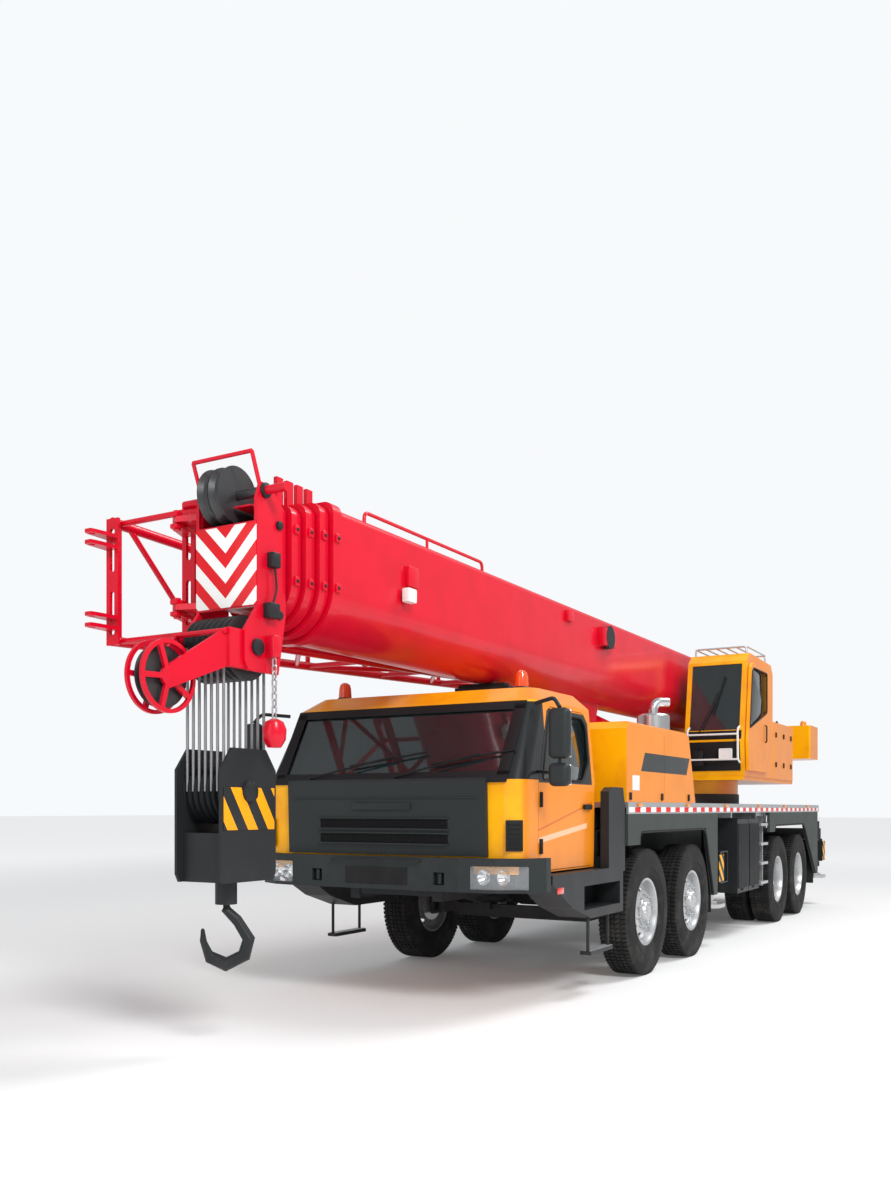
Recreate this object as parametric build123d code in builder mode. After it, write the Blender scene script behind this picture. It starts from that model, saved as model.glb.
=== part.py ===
from build123d import *
from math import cos, radians, sin
import os

# Four-axle truck crane with a five-section telescopic boom, stowed for the road.
# Millimetres. The front faces -Y, the crane's left side is +X, the ground is Z = 0.
# The origin lies on the ground, in the middle of the overall length and width.
# Stations are distances behind the first axle, so Y is a station plus first_axle_y.

# Clearances
seat_gap = 0.3
panel_gap = 6.0
slide_gap = 8.0

# Axles, tyres and rims
first_axle_y = -1775.0
axle_stations = [0.0, 1470.0, 5570.0, 6920.0]
steered_axles = 2
tyre_radius = 610.0
tyre_width = 310.0
bead_radius = 315.0
rim_half_width = 109.0
rim_lip = 26.0
rim_wall = 22.0
wheel_centre_x = 1200.0
twin_spacing = 350.0
stud_circle = 167.0
stud_radius = 15.0
hand_hole_circle = 225.0
hand_hole_radius = 30.0
wheel_hole_count = 10
spindle_radius = 42.0
kingpin_x = 960.0
kingpin_radius = 26.0

# Carrier frame, deck and skirts
half_width = 1375.0
deck_top_z = 1670.0
deck_thickness = 50.0
deck_front = -650.0
deck_rear = 8290.0
skirt_thickness = 40.0
skirt_drop_front_z = 1270.0
front_arch = (-300.0, 1830.0, 1395.0)
rear_arch = (5235.0, 7130.0, 1385.0)
frame_half_width = 450.0
frame_wall = 14.0
rail_width = 90.0
rail_bottom_z = 850.0
rail_top_z = 1090.0
frame_front = -2450.0
girder_front = 1900.0
girder_bottom_z = 1100.0

# Outriggers
front_box = (2330.0, 2980.0)
rear_box = (8305.0, 8955.0)
outrigger_bottom_z = 720.0
outrigger_wall = 16.0
outrigger_half_width = 1310.0
beam_wall = 20.0
jack_x = 1210.0
jack_rod_radius = 58.0
jack_tube_wall = 24.0
jack_tube_z = (640.0, 1400.0)
pad_radius = 200.0
pad_bottom_z = 450.0
pad_thickness = 45.0

# Carrier cab: (z, front station, rear station, half width)
cab_sections = [
    (1100.0, -2600.0, -1100.0, 1240.0),
    (1830.0, -2625.0, -1100.0, 1250.0),
    (2480.0, -2260.0, -1110.0, 1195.0),
    (2600.0, -2080.0, -1190.0, 1080.0),
]
cab_wall = 45.0
cab_corner = 150.0
screen_half_width = 1080.0
screen_z = (1865.0, 2450.0)
door_outline = [(-2300.0, 1110.0), (-2320.0, 1800.0), (-2060.0, 2400.0), (-1990.0, 2440.0),
                (-1300.0, 2440.0), (-1200.0, 2340.0), (-1200.0, 1110.0)]
door_window = [(-2230.0, 1840.0), (-2030.0, 2350.0), (-1960.0, 2390.0), (-1340.0, 2390.0),
               (-1260.0, 2310.0), (-1260.0, 2010.0), (-1420.0, 1840.0)]
glass_inset = 14.0
glass_thickness = 8.0
mask_half_width = 960.0
mask_z = (1235.0, 1850.0)
mask_thickness = 38.0
bumper_z = (960.0, 1225.0)
bumper_front = -2740.0
bumper_wall = 50.0

# Engine hood and exhaust
hood_outline = [(-650.0, 1670.0), (-650.0, 2350.0), (-560.0, 2420.0), (1130.0, 2420.0),
                (1240.0, 2370.0), (1480.0, 1670.0)]
hood_half_width = 1360.0
hood_wall = 30.0
engine_box = (420.0, -520.0, 980.0, 1090.0, 2150.0)
muffler_place = (1150.0, 700.0)
muffler_radius = 168.0
muffler_top_z = 2585.0
exhaust_radius = 48.0
exhaust_top_z = 2715.0

# Upper structure
slew_station = 4850.0
ring_radius = 930.0
platform_bottom_z = 1980.0
platform_thickness = 50.0
platform_half_width = 1310.0
side_plate_x = 400.0
side_plate_thickness = 32.0
foot_station = 6600.0
foot_z = 3200.0
foot_pin_radius = 60.0
luff_low_station = 4750.0
luff_low_z = 2280.0
luff_high_station = 1450.0
luff_high_z = 2620.0
luff_barrel_radius = 150.0
luff_barrel_length = 2930.0
luff_rod_radius = 84.0
luff_eye_half_width = 90.0
lug_thickness = 35.0
counterweight_stations = (8000.0, 8740.0)
counterweight_z = (2430.0, 2970.0)
counterweight_half_width = 1300.0

# Operator's cab
operator_outline = [(3730.0, 2030.0), (3650.0, 2480.0), (3830.0, 3520.0), (3980.0, 3630.0),
                    (5130.0, 3600.0), (5240.0, 3480.0), (5240.0, 2030.0)]
operator_x = (560.0, 1328.0)
operator_wall = 40.0
operator_door_outline = [(3760.0, 2100.0), (3720.0, 2470.0), (3880.0, 3440.0), (3960.0, 3500.0),
                         (4790.0, 3500.0), (4790.0, 2100.0)]
operator_door_window = [(3790.0, 2640.0), (3910.0, 3390.0), (3985.0, 3440.0), (4720.0, 3440.0),
                        (4720.0, 2900.0)]
operator_door_thickness = 38.0
operator_door_gap = 6.0
operator_door_travel = 700.0

# Boom
boom_centre_z = 3270.0
boom_half_width = 380.0
boom_half_height = 460.0
boom_step_x = 35.0
boom_step_z = 30.0
boom_wall = 10.0
boom_tail_station = 6950.0
boom_tail_step = 180.0
boom_rest_pad = 35.0
collar_station = -3780.0
collar_width = 98.0
collar_pitch = 110.0
collar_height = 28.0
stroke = 8300.0
head_stations = (-4520.0, -4225.0)
head_plate = 25.0
front_plate_z = (2930.0, 3490.0)
head_z = (2500.0, 3750.0)
sheave_groove = 28.0
rope_radius = 10.0
low_sheave = (-4520.0, 2660.0)
low_sheave_radius = 215.0
low_sheave_count = 7
low_sheave_pitch = 52.0
top_sheave = (-4440.0, 3700.0)
top_sheave_radius = 195.0
top_sheave_x = -60.0
top_sheave_pitch = 96.0
top_sheave_clearance = 12.0
nose = (-5110.0, 2420.0)
nose_sheave_radius = 190.0
nose_guard_radius = 228.0

# Hook block and hook
block_z = (1130.0, 2000.0)
block_half_width = 200.0
block_half_depth = 270.0
block_plate = 20.0
block_sheave_z = 1720.0
hook_bowl_z = 725.0
hook_bowl_radius = 150.0
hook_turn = 30.0
hook_neck = 250.0
hook_shank_top = 1390.0
hook_shank_radius = 50.0
hook_bar_share = 0.62

# Stowed lattice jib
jib_pivot = (-450.0, -4508.0)
jib_root_x = (-530.0, -1290.0)
jib_root_z = (2850.0, 3730.0)
jib_root_gap = 190.0
jib_post_thickness = 24.0
jib_node_offset = 0.02
jib_end_offset = 0.008
jib_tip_half = 170.0
jib_length = 8000.0
jib_bays = 7
jib_chord_radius = 38.0
jib_brace_radius = 22.0


def station(distance):
    """Y of a point that lies this far behind the first axle."""
    return first_axle_y + distance


def block(x, y, z, mode=Mode.ADD):
    """Box between two X, two Y and two Z places, in the part that is being built."""
    with Locations(((x[0] + x[1]) / 2, (y[0] + y[1]) / 2, (z[0] + z[1]) / 2)):
        Box(abs(x[1] - x[0]), abs(y[1] - y[0]), abs(z[1] - z[0]), mode=mode)


def bar(start, end, radius, mode=Mode.ADD):
    """Round bar between two points, in the part that is being built."""
    run = Vector(*end) - Vector(*start)
    with BuildSketch(Plane(origin=start, z_dir=run)) as disc:
        Circle(radius)
    extrude(disc.sketch, amount=run.length, mode=mode)


def side_slab(points, x, mode=Mode.ADD):
    """Slab between two X places with an outline of (station, z) points."""
    with BuildSketch(Plane.YZ.offset(x[0])) as outline:
        with BuildLine():
            Polyline(*[(station(s), z) for s, z in points], close=True)
        make_face()
    extrude(outline.sketch, amount=x[1] - x[0], mode=mode)


def turned(profile, centre, mode=Mode.ADD):
    """Solid turned about the X axis through a centre, from (x, radius) points."""
    with BuildSketch(Plane(origin=centre, x_dir=(1, 0, 0), z_dir=(0, -1, 0))) as section:
        with BuildLine():
            Polyline(*profile, close=True)
        make_face()
    revolve(section.sketch, axis=Axis(centre, (1, 0, 0)), mode=mode)


def ring_of_holes(centre, circle, radius, count, reach, mode=Mode.SUBTRACT):
    """Round holes or studs along X, evenly spaced on a circle about a centre."""
    with BuildSketch(Plane(origin=centre, z_dir=(1, 0, 0))) as pattern:
        with PolarLocations(circle, count):
            Circle(radius)
    extrude(pattern.sketch, amount=reach, both=True, mode=mode)


def finish(part, label):
    """Label a finished piece and write its STEP file."""
    part.label = label
    export_step(part, f"parts/{label}.step")


os.makedirs("parts", exist_ok=True)

axle_ys = [station(distance) for distance in axle_stations]
slew_y = station(slew_station)
sides = {"left": 1, "right": -1}
hub_bore = spindle_radius + seat_gap


# Tyres and rims

def tyre_section(offset, side):
    """Outline of a tyre's section, its middle at an offset from the wheel's centre."""
    half = tyre_width / 2
    bead = rim_half_width - seat_gap
    outline = [(bead, bead_radius), (bead, bead_radius + rim_lip + 8), (half - 6, bead_radius + 85),
               (half, bead_radius + 140), (half - 10, tyre_radius - 62), (half - 22, tyre_radius - 14),
               (half - 55, tyre_radius)]
    mirrored = [(-x, radius) for x, radius in reversed(outline)]
    return [(side * (offset + x), radius) for x, radius in outline + mirrored]


def barrel_section(offset, side):
    """Outline of a rim's barrel with its two lips."""
    outer = bead_radius - seat_gap
    half = rim_half_width
    outline = [(-half - 14, outer + rim_lip), (-half, outer + rim_lip), (-half, outer), (half, outer),
               (half, outer + rim_lip), (half + 14, outer + rim_lip), (half + 14, outer - rim_wall + 6),
               (half - 20, outer - rim_wall), (-half + 20, outer - rim_wall),
               (-half - 14, outer - rim_wall + 6)]
    return [(side * (offset + x), radius) for x, radius in outline]


def disc_section(rim_x, hub_x, offset, side):
    """Outline of the dished disc between a rim's barrel and its hub."""
    reach = bead_radius - rim_wall + 1
    outline = [(rim_x - 8, reach), (rim_x + 8, reach), (hub_x + 8, stud_circle + 45),
               (hub_x + 8, 90), (hub_x - 8, 90), (hub_x - 8, stud_circle + 48)]
    return [(side * (offset + x), radius) for x, radius in outline]


def add_front_rim(centre, side):
    """Rim, disc, hub and studs of a steered wheel."""
    disc_rim_x, disc_hub_x = 45.0, 88.0
    turned(barrel_section(0.0, side), centre)
    turned(disc_section(disc_rim_x, disc_hub_x, 0.0, side), centre)
    hub = [(-70, hub_bore), (-70, 105), (40, 125), (112, 125), (120, 95), (150, 85), (150, 0),
           (60, 0), (60, hub_bore)]
    turned([(side * x, radius) for x, radius in hub], centre)
    hole_centre = (centre[0] + side * (disc_rim_x + disc_hub_x) / 2, centre[1], centre[2])
    ring_of_holes(hole_centre, hand_hole_circle, hand_hole_radius, wheel_hole_count, 40)
    stud_centre = (centre[0] + side * (disc_hub_x + 14), centre[1], centre[2])
    ring_of_holes(stud_centre, stud_circle, stud_radius, wheel_hole_count, 22, Mode.ADD)


def add_twin_rims(centre, side):
    """Two rims bolted back to back on one hub, with the brake drum behind."""
    middle = -twin_spacing / 2
    turned(barrel_section(0.0, side), centre)
    turned(barrel_section(-twin_spacing, side), centre)
    turned(disc_section(-70.0, middle + 8, 0.0, side), centre)
    turned(disc_section(-twin_spacing + 70.0, middle - 8, 0.0, side), centre)
    hub = [(-240, hub_bore), (-240, 205), (-35, 205), (-20, 120), (120, 110), (150, 85), (150, 0),
           (70, 0), (70, hub_bore)]
    turned([(side * (x + middle), radius) for x, radius in hub], centre)
    hole_centre = (centre[0] + side * middle, centre[1], centre[2])
    ring_of_holes(hole_centre, hand_hole_circle + 15, hand_hole_radius - 6, wheel_hole_count, 60)
    stud_centre = (centre[0] + side * (middle + 24), centre[1], centre[2])
    ring_of_holes(stud_centre, stud_circle, stud_radius, wheel_hole_count, 26, Mode.ADD)


for steered in (True, False):
    axle_numbers = range(1, steered_axles + 1)
    if not steered:
        axle_numbers = range(steered_axles + 1, len(axle_ys) + 1)
    for name, side in sides.items():
        centre = (side * wheel_centre_x, 0.0, tyre_radius)
        with BuildPart() as wheel:
            turned(tyre_section(0.0, side), centre)
            if steered:
                add_front_rim(centre, side)
            else:
                turned(tyre_section(-twin_spacing, side), centre)
                add_twin_rims(centre, side)
        for axle in axle_numbers:
            finish(wheel.part.moved(Location((0, axle_ys[axle - 1], 0))), f"wheel_{axle}_{name}")


# Axles, knuckles and springs

eye_radius = 58.0
eye_half_height = 75.0
knuckle_lug = 35.0
spindle_end_x = wheel_centre_x + 52.0
beam_drop_z = tyre_radius - 90.0
spring_x = frame_half_width - rail_width / 2
axle_beam_half = 62.0

for axle in range(steered_axles):
    axle_y = axle_ys[axle]
    for name, side in sides.items():
        with BuildPart() as knuckle:
            plate_x = kingpin_x + eye_radius + 12
            block((side * plate_x, side * (plate_x + 35)), (axle_y - 85, axle_y + 85),
                  (tyre_radius - 130, tyre_radius + 130))
            for end in (1, -1):
                lug_low = tyre_radius + end * (eye_half_height + 2)
                lug_high = lug_low + end * knuckle_lug
                block((side * kingpin_x, side * (plate_x + 10)), (axle_y - 50, axle_y + 50),
                      (lug_low, lug_high))
                bar((side * kingpin_x, axle_y, lug_low), (side * kingpin_x, axle_y, lug_high), 50)
            bar((side * kingpin_x, axle_y, tyre_radius - 100), (side * kingpin_x, axle_y, tyre_radius + 100),
                kingpin_radius)
            bar((side * plate_x, axle_y, tyre_radius), (side * spindle_end_x, axle_y, tyre_radius),
                spindle_radius)
            block((side * (kingpin_x - 25), side * (kingpin_x + 25)), (axle_y, axle_y + 260),
                  (tyre_radius - 112, tyre_radius - 80))
        finish(knuckle.part, f"knuckle_{axle + 1}_{name}")

with BuildPart() as axles:
    for axle_y in axle_ys[:steered_axles]:
        for side in sides.values():
            bar((side * kingpin_x, axle_y, tyre_radius - eye_half_height),
                (side * kingpin_x, axle_y, tyre_radius + eye_half_height), eye_radius)
            with BuildSketch(Plane.XZ.offset(-axle_y)):
                with BuildLine():
                    Polyline((side * (kingpin_x - 20), tyre_radius - 60), (side * (kingpin_x - 20), tyre_radius + 60),
                             (side * 720, beam_drop_z + 90), (0, beam_drop_z + 90), (0, beam_drop_z - 40),
                             (side * 720, beam_drop_z - 40), close=True)
                make_face()
            extrude(amount=axle_beam_half - 20, both=True)
            block((side * (spring_x - 60), side * (spring_x + 60)), (axle_y - 95, axle_y + 95),
                  (beam_drop_z + 40, beam_drop_z + 110))
        for side in sides.values():
            bar((side * kingpin_x, axle_y, tyre_radius - eye_half_height - 5),
                (side * kingpin_x, axle_y, tyre_radius + eye_half_height + 5),
                kingpin_radius + seat_gap, Mode.SUBTRACT)
    tube_radius = 78.0
    hub_inner_x = wheel_centre_x - twin_spacing / 2 - 240
    for axle_y in axle_ys[steered_axles:]:
        bar((-hub_inner_x + 12, axle_y, tyre_radius), (hub_inner_x - 12, axle_y, tyre_radius), tube_radius)
        bar((-hub_inner_x - 270, axle_y, tyre_radius), (hub_inner_x + 270, axle_y, tyre_radius), spindle_radius)
        with Locations((0, axle_y, tyre_radius)):
            Sphere(215)
        bar((0, axle_y, tyre_radius), (0, axle_y - 330, tyre_radius + 20), 90)
        for side in sides.values():
            block((side * (spring_x - 60), side * (spring_x + 60)), (axle_y - 95, axle_y + 95),
                  (tyre_radius - 40, tyre_radius + 110))
finish(axles.part, "axles")

spring_sets = [(axle_ys[0], beam_drop_z + 110), (axle_ys[1], beam_drop_z + 110),
               (axle_ys[2], tyre_radius + 110), (axle_ys[3], tyre_radius + 110)]
spring_leaf = 16.0
spring_rise = 60.0
with BuildPart() as leaf_springs:
    for spring_y, seat_z in spring_sets:
        for side in sides.values():
            for leaf, reach in enumerate([620, 500, 380, 260]):
                low = seat_z + (3 - leaf) * spring_leaf
                rise = spring_rise * (reach / 620) ** 2
                with BuildSketch(Plane.YZ.offset(side * spring_x)):
                    with BuildLine():
                        ThreePointArc((spring_y - reach, low + rise), (spring_y, low), (spring_y + reach, low + rise))
                        Line((spring_y + reach, low + rise), (spring_y + reach, low + rise + spring_leaf))
                        ThreePointArc((spring_y + reach, low + rise + spring_leaf), (spring_y, low + spring_leaf),
                                      (spring_y - reach, low + rise + spring_leaf))
                        Line((spring_y - reach, low + rise + spring_leaf), (spring_y - reach, low + rise))
                    make_face()
                extrude(amount=42, both=True)
finish(leaf_springs.part, "leaf_springs")


# Carrier frame: each outrigger box carries two beams side by side, one for each side

box_inner_z = (outrigger_bottom_z + outrigger_wall, girder_bottom_z - outrigger_wall)
outrigger_places = {"front_left": (front_box, 0, 1), "front_right": (front_box, 1, -1),
                    "rear_right": (rear_box, 0, -1), "rear_left": (rear_box, 1, 1)}


def compartments(box):
    """The two Y ranges inside an outrigger box, front one first."""
    middle = (box[0] + box[1]) / 2
    half_web = outrigger_wall / 2
    return [(station(box[0] + outrigger_wall), station(middle - half_web)),
            (station(middle + half_web), station(box[1] - outrigger_wall))]


spring_end_rise = spring_rise + 4 * spring_leaf
with BuildPart() as chassis_frame:
    for side in sides.values():
        block((side * (frame_half_width - rail_width), side * frame_half_width),
              (station(frame_front), station(girder_front) + 5), (rail_bottom_z, rail_top_z))
    for cross in (frame_front + 60, -900.0, 700.0, 1700.0):
        block((-frame_half_width + rail_width, frame_half_width - rail_width),
              (station(cross) - 50, station(cross) + 50), (rail_bottom_z + 40, rail_top_z - 40))
    side_slab([(girder_front, rail_bottom_z), (girder_front, deck_top_z - deck_thickness),
               (rear_box[0], deck_top_z - deck_thickness), (rear_box[0], girder_bottom_z),
               (7900.0, girder_bottom_z - 110), (3200.0, girder_bottom_z - 110), (front_box[1], girder_bottom_z),
               (front_box[0], girder_bottom_z), (front_box[0], rail_bottom_z)],
              (-frame_half_width, frame_half_width))
    side_slab([(girder_front + frame_wall, rail_bottom_z + frame_wall),
               (girder_front + frame_wall, deck_top_z - deck_thickness - frame_wall),
               (rear_box[0] - frame_wall, deck_top_z - deck_thickness - frame_wall),
               (rear_box[0] - frame_wall, girder_bottom_z + frame_wall),
               (front_box[0] - frame_wall, girder_bottom_z + frame_wall),
               (front_box[0] - frame_wall, rail_bottom_z + frame_wall)],
              (-frame_half_width + frame_wall, frame_half_width - frame_wall), Mode.SUBTRACT)
    hanger_base = {0: rail_bottom_z, 1: rail_bottom_z, 2: girder_bottom_z - 110, 3: girder_bottom_z - 110}
    for index, (spring_y, seat_z) in enumerate(spring_sets):
        for side in sides.values():
            for end in (1, -1):
                eye_y = spring_y + end * 600
                block((side * (spring_x - 40), side * (spring_x + 40)), (eye_y - 35, eye_y + 35),
                      (seat_z + spring_end_rise + 1, hanger_base[index] + 2))
    for box in (front_box, rear_box):
        block((-outrigger_half_width, outrigger_half_width), (station(box[0]), station(box[1])),
              (outrigger_bottom_z, girder_bottom_z))
        for inner in compartments(box):
            block((-outrigger_half_width - 1, outrigger_half_width + 1), inner, box_inner_z, Mode.SUBTRACT)
    block((-frame_half_width, frame_half_width), (station(rear_box[0]) - 5, station(rear_box[0]) + 300),
          (girder_bottom_z - 5, deck_top_z - deck_thickness))
    for box, index, side in outrigger_places.values():
        block((side * (jack_x - 130), side * (outrigger_half_width + 1)), compartments(box)[index],
              (outrigger_bottom_z - 1, girder_bottom_z + 1), Mode.SUBTRACT)
    rest_top = boom_centre_z - boom_half_height - boom_rest_pad
    for side in sides.values():
        block((side * 230, side * 290), (station(-930), station(-830)), (rail_top_z - 60, rest_top - 60))
        block((side * 280, side * (frame_half_width - 5)), (station(-930), station(-830)),
              (rail_top_z - 60, rail_top_z))
    block((-290, 290), (station(-930), station(-830)), (rest_top - 70, rest_top))
finish(chassis_frame.part, "chassis_frame")

with BuildPart() as deck:
    block((-half_width, half_width), (station(deck_front), station(deck_rear)),
          (deck_top_z - deck_thickness, deck_top_z))
    block((-engine_box[0] - 40, engine_box[0] + 40),
          (station(engine_box[1] - 40), station(engine_box[2] + 40)),
          (deck_top_z - deck_thickness - 5, deck_top_z + 5), Mode.SUBTRACT)
    for side in sides.values():
        block((side * (half_width - 18), side * half_width), (station(deck_front), station(deck_rear)),
              (deck_top_z - 110, deck_top_z - deck_thickness + 2))
    for cross in (2150.0, 3120.0, 4900.0, 8180.0):
        for side in sides.values():
            block((side * (frame_half_width + seat_gap), side * (half_width - 60)),
                  (station(cross) - 30, station(cross) + 30),
                  (deck_top_z - deck_thickness - 120, deck_top_z - deck_thickness + 2))
finish(deck.part, "deck")


def skirt_points(front, rear, arch, front_low, rear_low, lean):
    """Side outline of a wheel skirt: legs at both ends of an arch."""
    top = deck_top_z - 110 - seat_gap
    return [(front, top), (rear, top), (rear, rear_low), (rear - 150, rear_low),
            (arch[1], arch[2]), (arch[0], arch[2]), (arch[0] - lean, front_low), (front, front_low)]


with BuildPart() as wheel_skirts:
    outline = skirt_points(deck_front, 2300.0, front_arch, skirt_drop_front_z, 620.0, 20)
    for side in sides.values():
        side_slab(outline, (side * (half_width - skirt_thickness), side * half_width))
        block((side * (frame_half_width + 40), side * (half_width - 10)),
              (station(front_arch[0]), station(front_arch[1])), (front_arch[2], front_arch[2] + 12))
        block((side * (frame_half_width + seat_gap), side * (frame_half_width + 60)),
              (station(girder_front + 60), station(front_arch[1] + 160)), (front_arch[2], front_arch[2] + 12))
        block((side * (frame_half_width + 40), side * (half_width - 10)),
              (station(front_arch[1] - 4), station(front_arch[1] + 160)), (front_arch[2], front_arch[2] + 12))
    outline = skirt_points(4870.0, 8200.0, rear_arch, 1290.0, 560.0, 60)
    for side in sides.values():
        side_slab(outline, (side * (half_width - skirt_thickness), side * half_width))
        block((side * (frame_half_width + seat_gap), side * (half_width - 10)),
              (station(rear_arch[0]), station(rear_arch[1])), (rear_arch[2], rear_arch[2] + 12))
finish(wheel_skirts.part, "wheel_skirts")

with BuildPart() as engine_block:
    block((-engine_box[0], engine_box[0]), (station(engine_box[1]), station(engine_box[2])),
          (engine_box[3] + seat_gap, engine_box[4]))
finish(engine_block.part, "engine_block")


# Outrigger beams and jacks

jack_tube_radius = jack_rod_radius + jack_tube_wall
for name, (box, index, side) in outrigger_places.items():
    inner = compartments(box)[index]
    beam_y = (inner[0] + slide_gap, inner[1] - slide_gap)
    beam_z = (box_inner_z[0] + seat_gap, box_inner_z[1] - slide_gap)
    jack_y = (inner[0] + inner[1]) / 2
    with BuildPart() as beam:
        block((-side * (outrigger_half_width - 30), side * (jack_x - jack_tube_radius + 10)), beam_y, beam_z)
        block((-side * (outrigger_half_width - 30), side * (jack_x - jack_tube_radius - 40)),
              (beam_y[0] + beam_wall, beam_y[1] - beam_wall), (beam_z[0] + beam_wall, beam_z[1] - beam_wall),
              Mode.SUBTRACT)
        bar((side * jack_x, jack_y, jack_tube_z[0]), (side * jack_x, jack_y, jack_tube_z[1]), jack_tube_radius)
        block((side * (jack_x + jack_tube_radius - 12), side * (half_width - 12)),
              (jack_y - 100, jack_y + 100), (beam_z[0] + 10, beam_z[1] - 10))
        bar((side * jack_x, jack_y, jack_tube_z[0] - 5), (side * jack_x, jack_y, jack_tube_z[1] - 30),
            jack_rod_radius + seat_gap, Mode.SUBTRACT)
    finish(beam.part, f"outrigger_beam_{name}")
    with BuildPart() as jack:
        bar((side * jack_x, jack_y, pad_bottom_z + pad_thickness - 5),
            (side * jack_x, jack_y, jack_tube_z[1] - 60), jack_rod_radius)
        bar((side * jack_x, jack_y, pad_bottom_z + 12), (side * jack_x, jack_y, pad_bottom_z + pad_thickness + 30), 95)
        bar((side * jack_x, jack_y, pad_bottom_z), (side * jack_x, jack_y, pad_bottom_z + pad_thickness), pad_radius)
        pad_block = half_width - jack_x
        block((side * (jack_x + pad_block), side * (jack_x + 400)), (jack_y - 300, jack_y + 300),
              (pad_bottom_z - 1, pad_bottom_z + 60), Mode.SUBTRACT)
    finish(jack.part, f"outrigger_jack_{name}")


# Carrier cab

def cab_form(grow, mode=Mode.ADD):
    """Closed form of the carrier cab, its walls moved out by an amount."""
    outlines = []
    for index, (z, front, rear, half) in enumerate(cab_sections):
        level = z
        if index == 0:
            level = z - grow
        if index == len(cab_sections) - 1:
            level = z + grow
        with BuildSketch(Plane.XY.offset(level)) as outline:
            with Locations((0, station((front + rear) / 2))):
                Rectangle(2 * (half + grow), rear - front + 2 * grow)
            fillet(vertices().group_by(Axis.Y)[0], cab_corner + grow)
            fillet(vertices().group_by(Axis.Y)[-1], 60 + grow)
        outlines.append(outline.sketch)
    loft(outlines, ruled=True, mode=mode)


def side_prism(points, shrink, x, mode):
    """Prism across X whose (station, z) outline is drawn in by an amount."""
    with BuildSketch(Plane.YZ.offset(x[0])) as outline:
        with BuildLine():
            Polyline(*[(station(s), z) for s, z in points], close=True)
        make_face()
        if shrink:
            offset(amount=-shrink, kind=Kind.INTERSECTION, mode=Mode.REPLACE)
    extrude(outline.sketch, amount=x[1] - x[0], mode=mode)


with BuildPart() as cab_shell:
    cab_form(0.0)
    cab_form(-cab_wall, Mode.SUBTRACT)

door_x = (1150.0, 1400.0)
with BuildPart() as carrier_cab:
    add(cab_shell.part)
    for side in sides.values():
        side_prism(door_outline, 0, (side * door_x[0], side * door_x[1]), Mode.SUBTRACT)
    block((-screen_half_width, screen_half_width), (station(-2800), station(-1900)), screen_z, Mode.SUBTRACT)
    block((-620, 620), (station(-1300), station(-1000)), (1900, 2380), Mode.SUBTRACT)
finish(carrier_cab.part, "carrier_cab")

with BuildPart() as glass_skin:
    cab_form(-glass_inset)
    cab_form(-glass_inset - glass_thickness, Mode.SUBTRACT)

with BuildPart() as cab_openings:
    block((-screen_half_width + seat_gap, screen_half_width - seat_gap), (station(-2800), station(-1900)),
          (screen_z[0] + seat_gap, screen_z[1] - seat_gap))
    block((-620 + seat_gap, 620 - seat_gap), (station(-1300), station(-1000)), (1900 + seat_gap, 2380 - seat_gap))

with BuildPart() as cab_glass:
    add(glass_skin.part)
    add(cab_openings.part, mode=Mode.INTERSECT)
finish(cab_glass.part, "cab_glass")

for name, side in sides.items():
    across = (side * door_x[0], side * door_x[1])
    with BuildPart() as door:
        add(cab_shell.part)
        side_prism(door_outline, panel_gap, across, Mode.INTERSECT)
        side_prism(door_window, 0, across, Mode.SUBTRACT)
    finish(door.part, f"cab_door_{name}")

with BuildPart() as mirrors:
    mirror_x, mirror_y, arm_y = 1500.0, station(-2470), station(-2390)
    for side in sides.values():
        block((side * (mirror_x - 85), side * (mirror_x + 85)), (mirror_y - 55, mirror_y + 55), (1985, 2380))
        block((side * (mirror_x - 95), side * (mirror_x + 85)), (mirror_y - 55, mirror_y + 55), (1775, 1960))
        bar((side * mirror_x, mirror_y, 1700), (side * mirror_x, mirror_y, 2440), 12)
        bar((side * mirror_x, mirror_y, 2428), (side * 1100, arm_y, 2428), 12)
        bar((side * mirror_x, mirror_y, 1712), (side * 1150, arm_y, 1712), 12)
    cab_form(seat_gap, Mode.SUBTRACT)
finish(mirrors.part, "mirrors")

with BuildPart() as front_mask:
    cab_form(mask_thickness)
    cab_form(seat_gap, Mode.SUBTRACT)
    block((-mask_half_width, mask_half_width), (station(-2800), station(-2400)), mask_z, Mode.INTERSECT)
    for low in (1330.0, 1450.0):
        block((-620, 620), (station(-2800), station(-2640)), (low, low + 75), Mode.SUBTRACT)
finish(front_mask.part, "front_mask")


def bumper_outline(inset):
    """Plan outline of the bumper: straight front with corners that sweep back."""
    front = station(bumper_front) + inset
    side_x = half_width - 12 - inset
    rear = station(-2330)
    with BuildLine() as outline:
        Polyline((-side_x, rear), (-side_x, front + 330), (-side_x + 80, front + 160), (-side_x + 300, front + 45),
                 (-side_x + 600, front), (side_x - 600, front), (side_x - 300, front + 45),
                 (side_x - 80, front + 160), (side_x, front + 330), (side_x, rear), close=True)
    make_face(outline.edges())


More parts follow.
